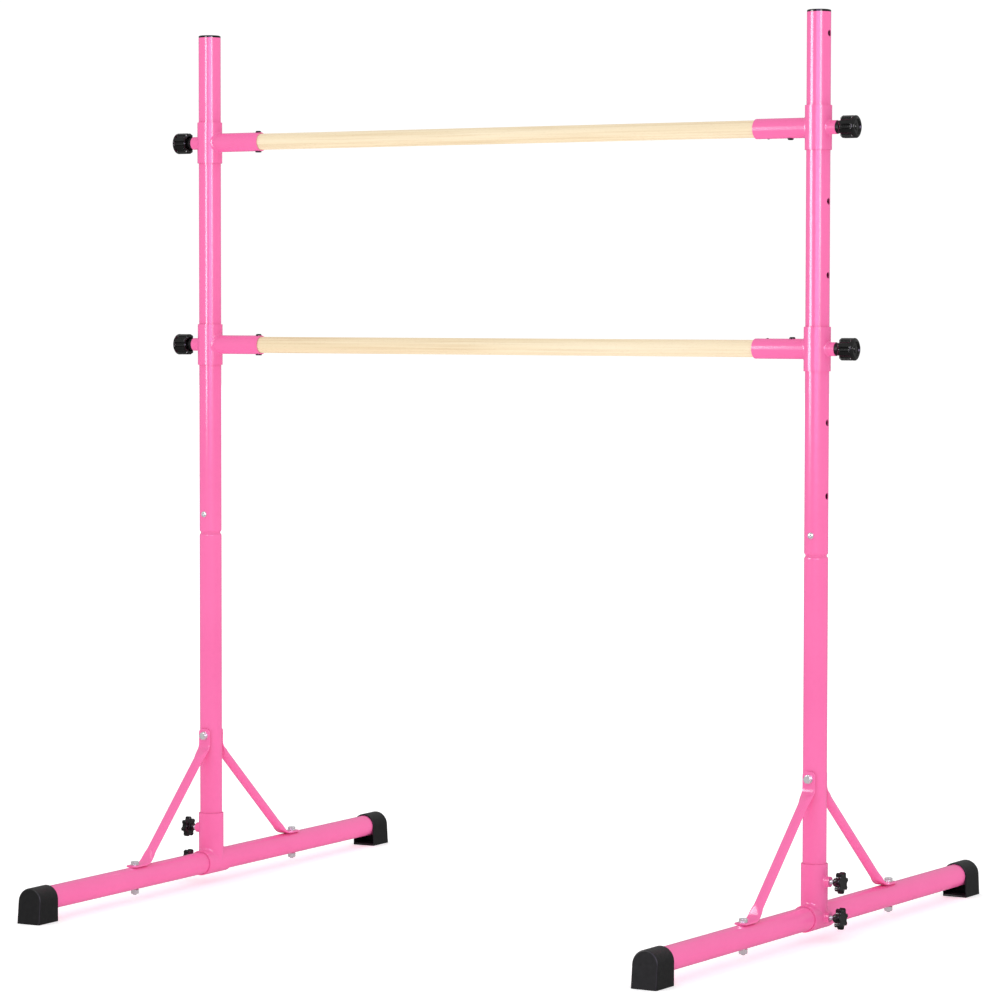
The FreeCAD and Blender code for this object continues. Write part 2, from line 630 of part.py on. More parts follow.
def strut_hardware():
    """Bolts, nuts and washers that hold the struts to the posts and the foot tubes."""
    stack = "(Sizes.post_outer / 2 + Sizes.strut_flat + Sizes.fit_gap / 5)"
    seat = f"({stack} + Sizes.washer_height)"
    top_length = f"2 * {seat} + Sizes.nut_height + Sizes.bolt_proud"
    plate_top = f"(Sizes.foot_axis + {stack})"
    tube_bottom = "(Sizes.foot_axis - Sizes.post_outer / 2)"
    foot_seat = f"({plate_top} + Sizes.washer_height)"
    foot_nut = f"({tube_bottom} - Sizes.washer_height)"
    foot_length = f"{foot_seat} - {foot_nut} + Sizes.nut_height + Sizes.bolt_proud"
    hex_nut = ("Sizes.hex_across", "Sizes.nut_height", "Sizes.bolt_outer")
    level = "Sizes.strut_bolt_height"
    kept = {}
    for side in SIDES:
        made = {
            "strut_top_bolts": [aim(hex_bolt(f"{side}_top_bolt", top_length), FRONT,
                                    "0", f"-{seat}", level)],
            "strut_top_nuts": [aim(nut(f"{side}_top_nut", *hex_nut), BACK, "0", seat, level)],
            "strut_washers": [
                aim(washer(f"{side}_head_washer"), FRONT, "0", f"-{stack}", level),
                aim(washer(f"{side}_nut_washer"), BACK, "0", stack, level),
            ],
            "strut_foot_bolts": [],
            "strut_foot_nuts": [],
        }
        for end, (sign, _) in ENDS.items():
            name = f"{side}_{end}"
            reach = f"{sign} * Sizes.foot_bolt_reach + Sizes.foot_setback"
            made["strut_foot_bolts"].append(aim(hex_bolt(f"{name}_bolt", foot_length), UP,
                                                "0", reach, foot_seat))
            made["strut_foot_nuts"].append(aim(nut(f"{name}_nut", *hex_nut), DOWN,
                                               "0", reach, foot_nut))
            made["strut_washers"].append(aim(washer(f"{name}_top_washer"), UP,
                                             "0", reach, plate_top))
            made["strut_washers"].append(aim(washer(f"{name}_low_washer"), DOWN,
                                             "0", reach, tube_bottom))
        for label, members in made.items():
            kept.setdefault(label, []).append(on_stand(side, label, members))
    for label, compounds in kept.items():
        group(label, compounds)


def joint_hardware():
    """Button-head bolts and nuts that hold the upper posts on the lower posts."""
    seat = "Sizes.post_outer / 2"
    level = "Sizes.joint_bolt_height"
    length = "Sizes.post_outer + Sizes.joint_nut + Sizes.bolt_proud"
    bolts = []
    nuts = []
    for side, (across, _) in SIDES.items():
        body = new_body(f"{side}_joint_bolt")
        half_head = "Sizes.joint_head_outer / 2"
        shank = "Sizes.joint_bolt_outer / 2"
        turn_profile(body, "Z", [
            (f"-({length})", "0"), (f"-({length})", shank), ("0", shank), ("0", half_head),
            ("Sizes.joint_head / 4", half_head), ("Sizes.joint_head", f"{half_head} * 0.6"),
            ("Sizes.joint_head", "0"),
        ])
        extrude(body, "Pocket", "Z", "Sizes.joint_head - Sizes.joint_socket_depth",
                "Sizes.joint_head", lambda sketch: add_hexagon(sketch, "Sizes.joint_socket"))
        bolts.append(aim(body, FRONT, across, f"{POST_BACK} - {seat}", level))
        nuts.append(aim(nut(f"{side}_joint_nut", "Sizes.joint_hex_across", "Sizes.joint_nut",
                            "Sizes.joint_bolt_outer"), BACK, across, f"{POST_BACK} + {seat}", level))
    group("post_joint_bolts", bolts)
    group("post_joint_nuts", nuts)


# ------------------------------------------------------------------ star knobs
def star_knob(side, name, height):
    """Lobed clamp knob and its stud; the left post's knob stands half a lobe round."""
    across, turn = SIDES[side]
    upward = "-1" if (side, name) == ("left", "post") else "1"
    rim = "Sizes.star_outer / 2"
    knob = new_body(f"{side}_{name}_star_knob")
    turn_profile(knob, "X", [
        ("Sizes.star_start", "0"), ("Sizes.star_start", f"{rim} - Sizes.star_bevel"),
        ("Sizes.star_start + Sizes.star_bevel", rim), ("Sizes.star_end - Sizes.star_bevel", rim),
        ("Sizes.star_end", f"{rim} - Sizes.star_bevel"), ("Sizes.star_end", "0"),
    ])
    rod(knob, "X", "Sizes.star_hub_start", "Sizes.star_start + Sizes.star_bevel - Sizes.star_hub_start",
        "Sizes.star_hub")
    bore(knob, "X", "Sizes.star_hub_start",
         "Sizes.star_start + Sizes.stud_depth - Sizes.star_hub_start", "Sizes.stud_outer")
    notch = bore(knob, "X", "Sizes.star_start - Sizes.star_bevel", "Sizes.star_end",
                 "Sizes.star_notch", ("0", f"{upward} * Sizes.star_notch_reach"))
    repeat_round(knob, notch, "Sizes.star_lobes")
    place(knob, across, POST_BACK, height, turn + foot_turn(side))

    stud = new_body(f"{side}_{name}_stud")
    tip = "(Sizes.post_outer / 2 + Sizes.slide_gap)"
    rod(stud, "X", tip, f"Sizes.star_start + Sizes.stud_depth - {tip}", "Sizes.stud_outer")
    place(stud, across, POST_BACK, height, turn + foot_turn(side))


# ------------------------------------------------------------------ rails
def clamp_body(side, rail, tube_outer, reach):
    """Sleeve on the post with a welded horizontal tube inwards and a pin boss outwards."""
    half = "Sizes.clamp_height / 2"
    body = new_body(f"{rail}_{side}_clamp")
    tube(body, "X", f"-{reach}", reach, tube_outer, f"{tube_outer} - 2 * Sizes.tube_wall")
    rod(body, "Z", f"-{half}", "Sizes.clamp_height", "Sizes.sleeve_outer")
    rod(body, "X", "0", "Sizes.pin_boss_end", "Sizes.pin_boss_outer")
    bore(body, "Z", f"-{half}", "Sizes.clamp_height", "Sizes.post_outer + 2 * Sizes.slide_gap")
    seat = "(Sizes.barrel_start - Sizes.running_gap)"
    bore(body, "X", seat, f"Sizes.pin_boss_end - {seat}", "Sizes.barrel_thread")
    bore(body, "X", "0", "Sizes.pin_boss_end", "Sizes.pin_outer + 2 * Sizes.slide_gap")
    return body


def left_clamp(rail):
    """Clamp whose arm takes the left end of the wood; a screw passes through both."""
    body = clamp_body("left", rail, "Sizes.ferrule_outer", "Sizes.arm_reach")
    bore(body, "Z", "-Sizes.ferrule_outer", "2 * Sizes.ferrule_outer", "Sizes.arm_screw_bore",
         ("-Sizes.arm_screw_reach", "0"))
    across, turn = SIDES["left"]
    place(body, across, POST_BACK, RAILS[rail], turn)


def ferrule_screw(rail):
    """Return the reach of the ferrule's screw, and the side that it goes in from."""
    if rail == "upper":
        return "Sizes.ferrule_screw_high", DOWN
    return "Sizes.ferrule_screw_low", UP


def cross_hole(body, direction, reach, diameter):
    """Drill through the wall on one side of a horizontal tube."""
    start = "0" if direction == UP else "-Sizes.ferrule_outer"
    bore(body, "Z", start, "Sizes.ferrule_outer", diameter, (f"-{reach}", "0"))


def right_clamp(rail):
    """Clamp with a short stub, over which the ferrule is pushed."""
    reach, direction = ferrule_screw(rail)
    body = clamp_body("right", rail, "Sizes.stub_outer", "Sizes.stub_reach")
    cross_hole(body, direction, reach, "Sizes.ferrule_screw_bore")
    place(body, RIGHT_POST, POST_BACK, RAILS[rail])


def right_ferrule(rail):
    """Tube that joins the right stub to the wood; its near end is cut to fit the clamp's sleeve."""
    reach, direction = ferrule_screw(rail)
    body = new_body(f"{rail}_right_ferrule")
    tube(body, "X", "-Sizes.ferrule_end", "Sizes.ferrule_end",
         "Sizes.ferrule_outer", "Sizes.ferrule_outer - 2 * Sizes.tube_wall")
    bore(body, "Z", "-Sizes.ferrule_outer", "2 * Sizes.ferrule_outer",
         "Sizes.sleeve_outer + 2 * Sizes.fit_gap")
    cross_hole(body, direction, reach, "Sizes.ferrule_screw_bore")
    cross_hole(body, direction, "Sizes.nail_reach", "Sizes.nail_bore")
    place(body, RIGHT_POST, POST_BACK, RAILS[rail])


def wood_bar(rail):
    """Round wooden hand rail, drilled for the arm's screw and the ferrule's nail."""
    start = "(-Sizes.post_spacing / 2 + Sizes.rail_inset)"
    end = "(Sizes.post_spacing / 2 - Sizes.rail_butt)"
    direction = ferrule_screw(rail)[1]
    body = new_body(f"{rail}_bar")
    rod(body, "X", start, f"{end} - {start}", "Sizes.rail_outer")
    bore(body, "Z", "-Sizes.rail_outer", "2 * Sizes.rail_outer", "Sizes.arm_screw_bore",
         ("-Sizes.post_spacing / 2 + Sizes.arm_screw_reach", "0"))
    nail_tip = "Sizes.ferrule_outer / 2 - Sizes.nail_length"
    start = nail_tip if direction == UP else "-Sizes.ferrule_outer / 2"
    bore(body, "Z", start, "Sizes.nail_length", "Sizes.nail_bore",
         ("Sizes.post_spacing / 2 - Sizes.nail_reach", "0"))
    place(body, "0", POST_BACK, RAILS[rail])


def rail_screws(rail):
    """Screws and nail that hold the wood in the left arm and the right ferrule."""
    height = RAILS[rail]
    half = "Sizes.ferrule_outer / 2"
    arm_place = "-Sizes.post_spacing / 2 + Sizes.arm_screw_reach"
    arm_length = "Sizes.ferrule_outer + Sizes.arm_nut"
    arm_screw = pan_screw(f"{rail}_arm_screw", "Sizes.arm_screw_outer", arm_length)
    aim(arm_screw, UP, arm_place, POST_BACK, f"{height} + {half}")
    arm_nut = nut(f"{rail}_arm_nut", "Sizes.arm_nut_across", "Sizes.arm_nut",
                  "Sizes.arm_screw_outer")
    aim(arm_nut, DOWN, arm_place, POST_BACK, f"{height} - {half}")

    reach, direction = ferrule_screw(rail)
    sign = "+" if direction == UP else "-"
    seat = f"{height} {sign} {half}"
    screw = pan_screw(f"{rail}_ferrule_screw", "Sizes.ferrule_screw_outer",
                      "Sizes.ferrule_screw_length")
    aim(screw, direction, f"Sizes.post_spacing / 2 - {reach}", POST_BACK, seat)
    nail_head = primitive("Cylinder", f"{rail}_nail_head", Radius="Sizes.nail_head_outer / 2",
                          Height="Sizes.nail_head")
    nail = headed(f"{rail}_nail", nail_head, "Sizes.nail_outer", "Sizes.nail_length - Sizes.fit_gap")
    aim(nail, direction, "Sizes.post_spacing / 2 - Sizes.nail_reach", POST_BACK, seat)
    group(f"{rail}_rail_screws", [arm_screw, arm_nut, screw, nail])


# ------------------------------------------------------------------ spring pull pins
def pin_barrel(rail, side):
    """Barrel screwed into the boss; its chamber holds the spring."""
    across, turn = SIDES[side]
    end = "Sizes.barrel_end"
    chamber_start = "Sizes.barrel_start + Sizes.barrel_lip"
    thread = "Sizes.barrel_thread / 2"
    body = new_body(f"{rail}_{side}_pin_barrel")
    turn_profile(body, "X", [
        ("Sizes.barrel_start", "0"), ("Sizes.barrel_start", thread),
        ("Sizes.pin_boss_end", thread), ("Sizes.pin_boss_end", "Sizes.barrel_flange_outer / 2"),
        ("Sizes.barrel_flange_end", "Sizes.barrel_flange_outer / 2"),
        ("Sizes.barrel_flange_end", thread), (end, thread), (end, "0"),
    ])
    bore(body, "X", chamber_start, f"{end} - Sizes.barrel_lip - ({chamber_start})",
         "Sizes.barrel_bore")
    bore(body, "X", "0", chamber_start, "Sizes.pin_outer + 2 * Sizes.running_gap")
    bore(body, "X", "0", f"{end} + Sizes.barrel_lip", "Sizes.pin_rod + 2 * Sizes.running_gap")
    place(body, across, POST_BACK, RAILS[rail], turn)


def collar_start():
    """Return where the inner side of a plunger's collar lies when it rests on the barrel's lip."""
    return "(Sizes.barrel_start + Sizes.barrel_lip + Sizes.running_gap)"


def pin_plunger(rail, side):
    """Plunger: the nose that locks in a height hole, the spring's collar and the rod."""
    across, turn = SIDES[side]
    collar = collar_start()
    collar_end = f"{collar} + Sizes.pin_collar_width"
    nose = "Sizes.pin_outer / 2"
    rod_radius = "Sizes.pin_rod / 2"
    tip = "(Sizes.post_outer / 2 + Sizes.slide_gap)"
    body = new_body(f"{rail}_{side}_pin_plunger")
    turn_profile(body, "X", [
        (tip, "0"), (tip, nose), (collar, nose), (collar, "Sizes.pin_collar / 2"),
        (collar_end, "Sizes.pin_collar / 2"), (collar_end, rod_radius),
        ("Sizes.pin_rod_end", rod_radius), ("Sizes.pin_rod_end", "0"),
    ])
    place(body, across, POST_BACK, RAILS[rail], turn)


def pin_spring(rail, side):
    """Compression spring between the plunger's collar and the barrel's outer lip."""
    across, turn = SIDES[side]
    wire = number("Sizes.spring_wire")
    start = number(f"{collar_start()} + Sizes.pin_collar_width + Sizes.running_gap") + wire / 2
    end = number("Sizes.barrel_end - Sizes.barrel_lip - Sizes.running_gap") - wire / 2
    radius = number("Sizes.pin_collar / 2") - wire / 2
    helix = Part.makeHelix((end - start) / number("Sizes.spring_turns"), end - start, radius)
    section = Part.Wire(Part.makeCircle(wire / 2, Vector(radius, 0, 0), BACK))
    coil = Part.Wire(helix.Edges).makePipeShell([section], True, True)
    lay_down = Placement(Vector(start, 0, 0), Rotation(UP, Vector(1, 0, 0)))
    piece = doc.addObject("Part::Feature", f"{rail}_{side}_pin_spring")
    piece.Label = f"{rail}_{side}_pin_spring"
    piece.Shape = coil.transformGeometry(lay_down.toMatrix())
    place(piece, across, POST_BACK, RAILS[rail], turn)


def pull_knob(rail, side):
    """Fluted knob with a smooth ring at its face and a recess that clears the barrel."""
    across, turn = SIDES[side]
    rim = "Sizes.knob_outer / 2"
    back = "Sizes.knob_start"
    face = "Sizes.knob_end"
    body = new_body(f"{rail}_{side}_pull_knob")
    turn_profile(body, "X", [
        (back, "0"), (back, f"{rim} - Sizes.knob_back_bevel"),
        (f"{back} + Sizes.knob_back_bevel", rim), (f"{face} - Sizes.knob_bevel", rim),
        (face, f"{rim} - Sizes.knob_bevel"), (face, "0"),
    ])
    bore(body, "X", back, "Sizes.knob_recess", "Sizes.knob_recess_outer")
    bore(body, "X", back, f"Sizes.pin_rod_end - {back}", "Sizes.pin_rod")
    bore(body, "X", f"{face} - Sizes.knob_dish", "Sizes.knob_dish", "Sizes.knob_dish_outer")
    flute = bore(body, "X", back, f"{face} - Sizes.knob_nose - {back}",
                 "Sizes.knob_flute_outer", ("0", "Sizes.knob_flute_reach"))
    repeat_round(body, flute, "Sizes.knob_flutes")
    place(body, across, POST_BACK, RAILS[rail], turn)


# ------------------------------------------------------------------ assembly and output
def build():
    """Make every piece of the object."""
    for side in SIDES:
        base_tee(side)
        foot_tube(side)
        lower_post(side)
        upper_post(side)
        post_cap(side)
        star_knob(side, "post", "Sizes.post_knob_height")
        star_knob(side, "foot", "Sizes.foot_axis")
        for end in ENDS:
            rubber_foot(side, end)
            strut(side, end)
    strut_hardware()
    joint_hardware()
    for rail in RAILS:
        wood_bar(rail)
        left_clamp(rail)
        right_clamp(rail)
        right_ferrule(rail)
        rail_screws(rail)
        for side in SIDES:
            pin_barrel(rail, side)
            pin_plunger(rail, side)
            pin_spring(rail, side)
            pull_knob(rail, side)


def check():
    """Stop if a feature failed, a cut removed nothing or a piece isn't a valid solid."""
    for item in doc.Objects:
        if {"Invalid", "Error"} & set(item.State):
            raise RuntimeError(f"{item.Name} failed: {item.State}")
        if item.TypeId == "PartDesign::Pocket":
            if item.BaseFeature.Shape.Volume - item.Shape.Volume < 0.1:
                raise RuntimeError(f"{item.Name} cuts nothing")
    for piece in pieces:
        shape = piece.Shape
        if shape.isNull() or not shape.isValid() or not shape.Solids:
            raise RuntimeError(f"{piece.Label} has no valid solid")


def write():
    """Write each piece to a STEP file named after its node."""
    os.makedirs("parts", exist_ok=True)
    for piece in pieces:
        piece.Shape.exportStep(f"parts/{piece.Label}.step")


build()
doc.recompute()
check()
write()
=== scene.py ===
"""Looks of the free-standing double ballet barre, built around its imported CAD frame.

Units are metres. A turned piece is drawn about the local +X axis, which points outwards from
its stand, and a matrix puts it in the frame. Shared shapes, such as lathed profiles with
rounded corners, weld fillets and threads, come first, then one function for each kind of piece.
"""
import json
import math

import bmesh
import bpy
from mathutils import Matrix, Vector


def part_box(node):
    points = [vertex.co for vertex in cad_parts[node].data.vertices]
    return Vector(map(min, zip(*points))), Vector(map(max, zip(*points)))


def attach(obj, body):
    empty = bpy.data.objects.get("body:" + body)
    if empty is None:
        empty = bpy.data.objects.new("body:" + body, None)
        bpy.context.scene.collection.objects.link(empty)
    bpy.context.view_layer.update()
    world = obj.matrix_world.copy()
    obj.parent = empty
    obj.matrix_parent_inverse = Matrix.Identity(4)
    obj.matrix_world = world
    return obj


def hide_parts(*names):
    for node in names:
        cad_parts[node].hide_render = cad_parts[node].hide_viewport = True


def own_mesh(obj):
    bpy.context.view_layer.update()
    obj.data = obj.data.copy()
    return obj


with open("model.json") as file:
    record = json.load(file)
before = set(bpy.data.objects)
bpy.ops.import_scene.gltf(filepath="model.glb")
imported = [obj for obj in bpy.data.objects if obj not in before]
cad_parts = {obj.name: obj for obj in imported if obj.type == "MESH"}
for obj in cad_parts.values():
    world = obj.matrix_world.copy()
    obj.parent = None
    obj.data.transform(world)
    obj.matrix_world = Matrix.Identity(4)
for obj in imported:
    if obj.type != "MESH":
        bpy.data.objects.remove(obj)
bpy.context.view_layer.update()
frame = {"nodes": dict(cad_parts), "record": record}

MM = 0.001
SIDES = {"left": -1, "right": 1}
ENDS = {"front": -1, "rear": 1}
RAILS = ("lower", "upper")
NODES = frame["nodes"]


# ------------------------------------------------------------------ places read from the frame
def centre(node):
    """Return the middle of a CAD node's box."""
    low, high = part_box(node)
    return (low + high) / 2


def size(node):
    """Return the edge lengths of a CAD node's box."""
    low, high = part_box(node)
    return high - low


POST_X = {side: centre(f"{side}_upper_post").x for side in SIDES}
POST_Y = centre("right_upper_post").y
POST_RADIUS = size("right_upper_post").y / 2
TOP_Z = {side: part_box(f"{side}_upper_post")[1].z for side in SIDES}
FOOT_Z = centre("right_foot_tube").z
SETBACK = centre("right_foot_tube").y - POST_Y
RAIL_Z = {rail: centre(f"{rail}_bar").z for rail in RAILS}
SLEEVE_RADIUS = size("upper_right_clamp").y / 2
ARM_RADIUS = size("upper_right_ferrule").y / 2
POST_KNOB_Z = centre("right_post_stud").z
STRUT_BOLT_Z = centre("strut_top_nuts").z
JOINT_Z = centre("post_joint_nuts").z
FOOT_BOLT = 213 * MM
STRUT_BEND = 199 * MM
STRUT_PLATE = 2.6 * MM
ARM_SCREW_REACH = 86 * MM
FERRULE_SCREW_REACH = {"lower": 37 * MM, "upper": 41 * MM}
NAIL_REACH = 74 * MM
BOSS_RADIUS = {"tee": 7 * MM, "pin": 9.2 * MM}
FRONT = Vector((0, -1, 0))
BACK = Vector((0, 1, 0))
UP = Vector((0, 0, 1))
DOWN = Vector((0, 0, -1))


def foot_turn(side):
    """Return the angle by which a stand's foot is turned about its post."""
    way = centre(f"{side}_rear_foot") - centre(f"{side}_front_foot")
    return math.atan2(-way.x, way.y)


TURN = {side: foot_turn(side) for side in SIDES}
STAND = {
    side: Matrix.Translation((POST_X[side], POST_Y, 0)) @ Matrix.Rotation(TURN[side], 4, "Z")
    for side in SIDES
}


def outward(side, z, on_foot=False):
    """Return the frame of a piece whose axis points outwards from a post at a height."""
    turn = math.pi if SIDES[side] < 0 else 0.0
    if on_foot:
        turn += TURN[side]
    return Matrix.Translation((POST_X[side], POST_Y, z)) @ Matrix.Rotation(turn, 4, "Z")


def along(origin, direction):
    """Return the frame whose local +X points in a direction from an origin."""
    turn = Vector((1, 0, 0)).rotation_difference(direction).to_matrix().to_4x4()
    return Matrix.Translation(origin) @ turn


# ------------------------------------------------------------------ mesh tools
def rounded(points, radius, steps=4, closed=False):
    """Replace the corners of a (along, radius) outline by arcs; points may carry their own radius."""
    corners = [Vector(point[:2]) for point in points]
    radii = [point[2] if len(point) > 2 else radius for point in points]
    result = []
    count = len(corners)
    for index, corner in enumerate(corners):
        if not closed and index in (0, count - 1):
            result.append(corner)
            continue
        before = corners[index - 1] - corner
        after = corners[(index + 1) % count] - corner
        limit = 0.48 * min(before.length, after.length)
        half = before.angle(after) / 2
        if radii[index] <= 0 or half > 0.49 * math.pi:
            result.append(corner)
            continue
        setback = min(limit, radii[index] / math.tan(half))
        start = corner + before.normalized() * setback
        end = corner + after.normalized() * setback
        for step in range(steps + 1):
            t = step / steps
            result.append(start * (1 - t) ** 2 + corner * 2 * t * (1 - t) + end * t ** 2)
    return result


def around(x, radius, angle):
    """Return the point at an angle and a radius round the local X axis."""
    return Vector((x, radius * math.cos(angle), radius * math.sin(angle)))


def lathe(outline, segments=64, shape=None, closed=False):
    """Return rings about +X through an outline; shape(angle, along, radius) may change a radius."""
    rings = []
    for x, radius in outline:
        ring = []
        for index in range(segments):
            angle = 2 * math.pi * index / segments
            ring.append(around(x, shape(angle, x, radius) if shape else radius, angle))
        rings.append(ring)
    if closed:
        rings.append(rings[0])
    return rings


def skin(mesh, rings, matrix=Matrix.Identity(4), capped=True):
    """Add the surface through rings of points to a bmesh; a ring of no size becomes a point."""
    first = None
    previous = None
    closed = rings[0] is rings[-1]
    for ring in rings[:-1] if closed else rings:
        if max((point - ring[0]).length for point in ring) < 1e-7:
            current = [mesh.verts.new(matrix @ ring[0])]
        else:
            current = [mesh.verts.new(matrix @ point) for point in ring]
        if previous:
            bridge(mesh, previous, current)
        first = first or current
        previous = current
    if closed:
        bridge(mesh, previous, first)
    elif capped:
        for ring in (first, previous):
            if len(ring) > 1:
                mesh.faces.new(ring)


def bridge(mesh, one, other):
    """Join two rings of vertices, either of which may be a single point."""
    count = max(len(one), len(other))
    for index in range(count):
        following = (index + 1) % count
        corners = [one[index % len(one)], one[following % len(one)],
                   other[following % len(other)], other[index % len(other)]]
        mesh.faces.new(dict.fromkeys(corners))


def circle(count, start=0.0):
    """Return the points of a unit circle."""
    return [
        (math.cos(start + 2 * math.pi * index / count), math.sin(start + 2 * math.pi * index / count))
        for index in range(count)
    ]


def finish_piece(name, mesh, material, body, replaces=(), sharp=32.0):
    """Turn a bmesh into a shaded piece that rides on a body."""
    bmesh.ops.remove_doubles(mesh, verts=mesh.verts, dist=1e-7)
    bmesh.ops.recalc_face_normals(mesh, faces=mesh.faces)
    data = bpy.data.meshes.new(name)
    mesh.to_mesh(data)
    mesh.free()
    data.shade_smooth()
    data.set_sharp_from_angle(angle=math.radians(sharp))
    piece = bpy.data.objects.new(name, data)
    bpy.context.scene.collection.objects.link(piece)
    data.materials.append(material)
    even = piece.modifiers.new("even_normals", "WEIGHTED_NORMAL")
    even.keep_sharp = True
    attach(piece, body)
    if replaces:
        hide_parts(*replaces)
    return piece


def hexagon_radius(angle, across):
    """Return the distance from the axis to a hexagon's side at an angle."""
    sector = math.pi / 3
    return across / 2 / math.cos((angle % sector) - sector / 2)


def thread_radius(angle, x, radius, pitch):
    """Return a screw thread's radius: a V groove that climbs one pitch in each turn."""
    phase = (x / pitch - angle / (2 * math.pi)) % 1.0
    return radius - 0.55 * pitch * abs(2 * phase - 1) ** 1.5


def steps_between(start, end, step):
    """Return evenly spaced values from start to end, both included."""
    count = max(1, math.ceil(abs(end - start) / step))
    return [start + (end - start) * index / count for index in range(count + 1)]


def smoothstep(low, high, value):
    """Return 0 below low, 1 above high and a smooth climb between."""
    t = min(1.0, max(0.0, (value - low) / (high - low)))
    return t * t * (3 - 2 * t)


# ------------------------------------------------------------------ materials
class Finish:
    """A procedural material: its node tree with short ways to add and join nodes."""

    def __init__(self, name, colour, roughness, metallic=0.0):
        self.material = bpy.data.materials.new(name)
        self.material.use_nodes = True
        self.tree = self.material.node_tree
        self.shader = self.tree.nodes["Principled BSDF"]
        self.shader.inputs["Base Color"].default_value = (*colour, 1)
        self.shader.inputs["Roughness"].default_value = roughness
        self.shader.inputs["Metallic"].default_value = metallic
        self.place = self.tree.nodes.new("ShaderNodeTexCoord").outputs["Object"]

    def join(self, source, target):
        """Link an output to an input."""
        self.tree.links.new(source, target)

    def stretched(self, scale):
        """Return the object coordinates scaled by a different amount along each axis."""
        mapping = self.tree.nodes.new("ShaderNodeMapping")
        mapping.inputs["Scale"].default_value = scale
        self.join(self.place, mapping.inputs["Vector"])
        return mapping.outputs["Vector"]

    def noise(self, scale, detail=2.0, vector=None, distortion=0.0):
        """Return the value of a noise texture."""
        texture = self.tree.nodes.new("ShaderNodeTexNoise")
        texture.inputs["Scale"].default_value = scale
        texture.inputs["Detail"].default_value = detail
        texture.inputs["Distortion"].default_value = distortion
        self.join(vector or self.place, texture.inputs["Vector"])
        return texture.outputs["Fac"]

    def ramp(self, value, stops):
        """Return a colour ramp's colour; stops are (position, colour)."""
        ramp = self.tree.nodes.new("ShaderNodeValToRGB")
        elements = ramp.color_ramp.elements
        while len(elements) < len(stops):
            elements.new(0.5)
        for element, (position, colour) in zip(elements, stops):
            element.position = position
            element.color = (*colour, 1)
        self.join(value, ramp.inputs["Fac"])
        return ramp.outputs["Color"]

    def spread(self, value, low, high, start=0.3, end=0.7):
        """Map a noise value from its usual range to another range."""
        node = self.tree.nodes.new("ShaderNodeMapRange")
        node.inputs["From Min"].default_value = start
        node.inputs["From Max"].default_value = end
        node.inputs["To Min"].default_value = low
        node.inputs["To Max"].default_value = high
        self.join(value, node.inputs["Value"])
        return node.outputs["Result"]

    def mix(self, factor, one, other, blend="MIX"):
        """Mix two colours; the factor may be a number or an output."""
        node = self.tree.nodes.new("ShaderNodeMix")
        node.data_type = "RGBA"
        node.blend_type = blend
        if isinstance(factor, (int, float)):
            node.inputs[0].default_value = factor
        else:
            self.join(factor, node.inputs[0])
        for socket, colour in ((node.inputs[6], one), (node.inputs[7], other)):
            if isinstance(colour, tuple):
                socket.default_value = (*colour, 1)
            else:
                self.join(colour, socket)
        return node.outputs[2]

    def bump(self, height, strength, distance, under=None):
        """Return a bumped normal, on top of another one if it is given."""
        node = self.tree.nodes.new("ShaderNodeBump")
        node.inputs["Strength"].default_value = strength
        node.inputs["Distance"].default_value = distance
        self.join(height, node.inputs["Height"])
        if under:
            self.join(under, node.inputs["Normal"])
        return node.outputs["Normal"]

    def use(self, **sockets):
        """Join outputs to the shader's inputs, or set them to plain values."""
        for name, value in sockets.items():
            target = self.shader.inputs[name.replace("_", " ")]
            if isinstance(value, (int, float)):
                target.default_value = value
            else:
                self.join(value, target)
        return self.material


def pink_coat():
    """Glossy powder coat with a faint orange peel."""
    finish = Finish("pink_powder_coat", (0.9, 0.16, 0.41), 0.2)
    tint = finish.ramp(finish.noise(9.0, 3.0), [
        (0.3, (0.90, 0.152, 0.40)), (0.7, (0.92, 0.165, 0.42)),
    ])
    mottle = finish.ramp(finish.noise(150.0, 2.0), [
        (0.3, (0.97, 0.97, 0.97)), (0.7, (1, 1, 1)),
    ])
    colour = finish.mix(0.5, tint, mottle, "MULTIPLY")
    peel = finish.bump(finish.noise(260.0, 1.0), 0.02, 0.00005)
    gloss = finish.spread(finish.noise(90.0, 3.0), 0.19, 0.21)
    return finish.use(Base_Color=colour, Roughness=gloss, Normal=peel)


def beech():
    """Pale lacquered beech: long soft grain, darker lines and short flecks along X."""
    finish = Finish("pale_beech", (0.88, 0.74, 0.52), 0.4)
    broad = finish.noise(1.0, 3.0, finish.stretched((1.6, 70.0, 70.0)), 0.6)
    lines = finish.noise(1.0, 4.0, finish.stretched((4.0, 420.0, 420.0)), 0.3)
    flecks = finish.noise(1.0, 1.0, finish.stretched((230.0, 2400.0, 2400.0)))
    base = finish.ramp(broad, [
        (0.25, (0.79, 0.635, 0.41)), (0.5, (0.865, 0.73, 0.505)), (0.8, (0.895, 0.78, 0.575)),
    ])
    dark = finish.ramp(lines, [(0.32, (0.80, 0.72, 0.62)), (0.52, (1, 1, 1))])
    spots = finish.ramp(flecks, [(0.26, (0.70, 0.58, 0.46)), (0.36, (1, 1, 1))])
    grained = finish.mix(0.55, base, dark, "MULTIPLY")
    colour = finish.mix(0.45, grained, spots, "MULTIPLY")
    ridges = finish.bump(lines, 0.12, 0.0002)
    pores = finish.bump(flecks, 0.15, 0.0001, ridges)
    gloss = finish.spread(lines, 0.62, 0.72)
    return finish.use(Base_Color=colour, Roughness=gloss, Normal=pores, Specular_IOR_Level=0.25)


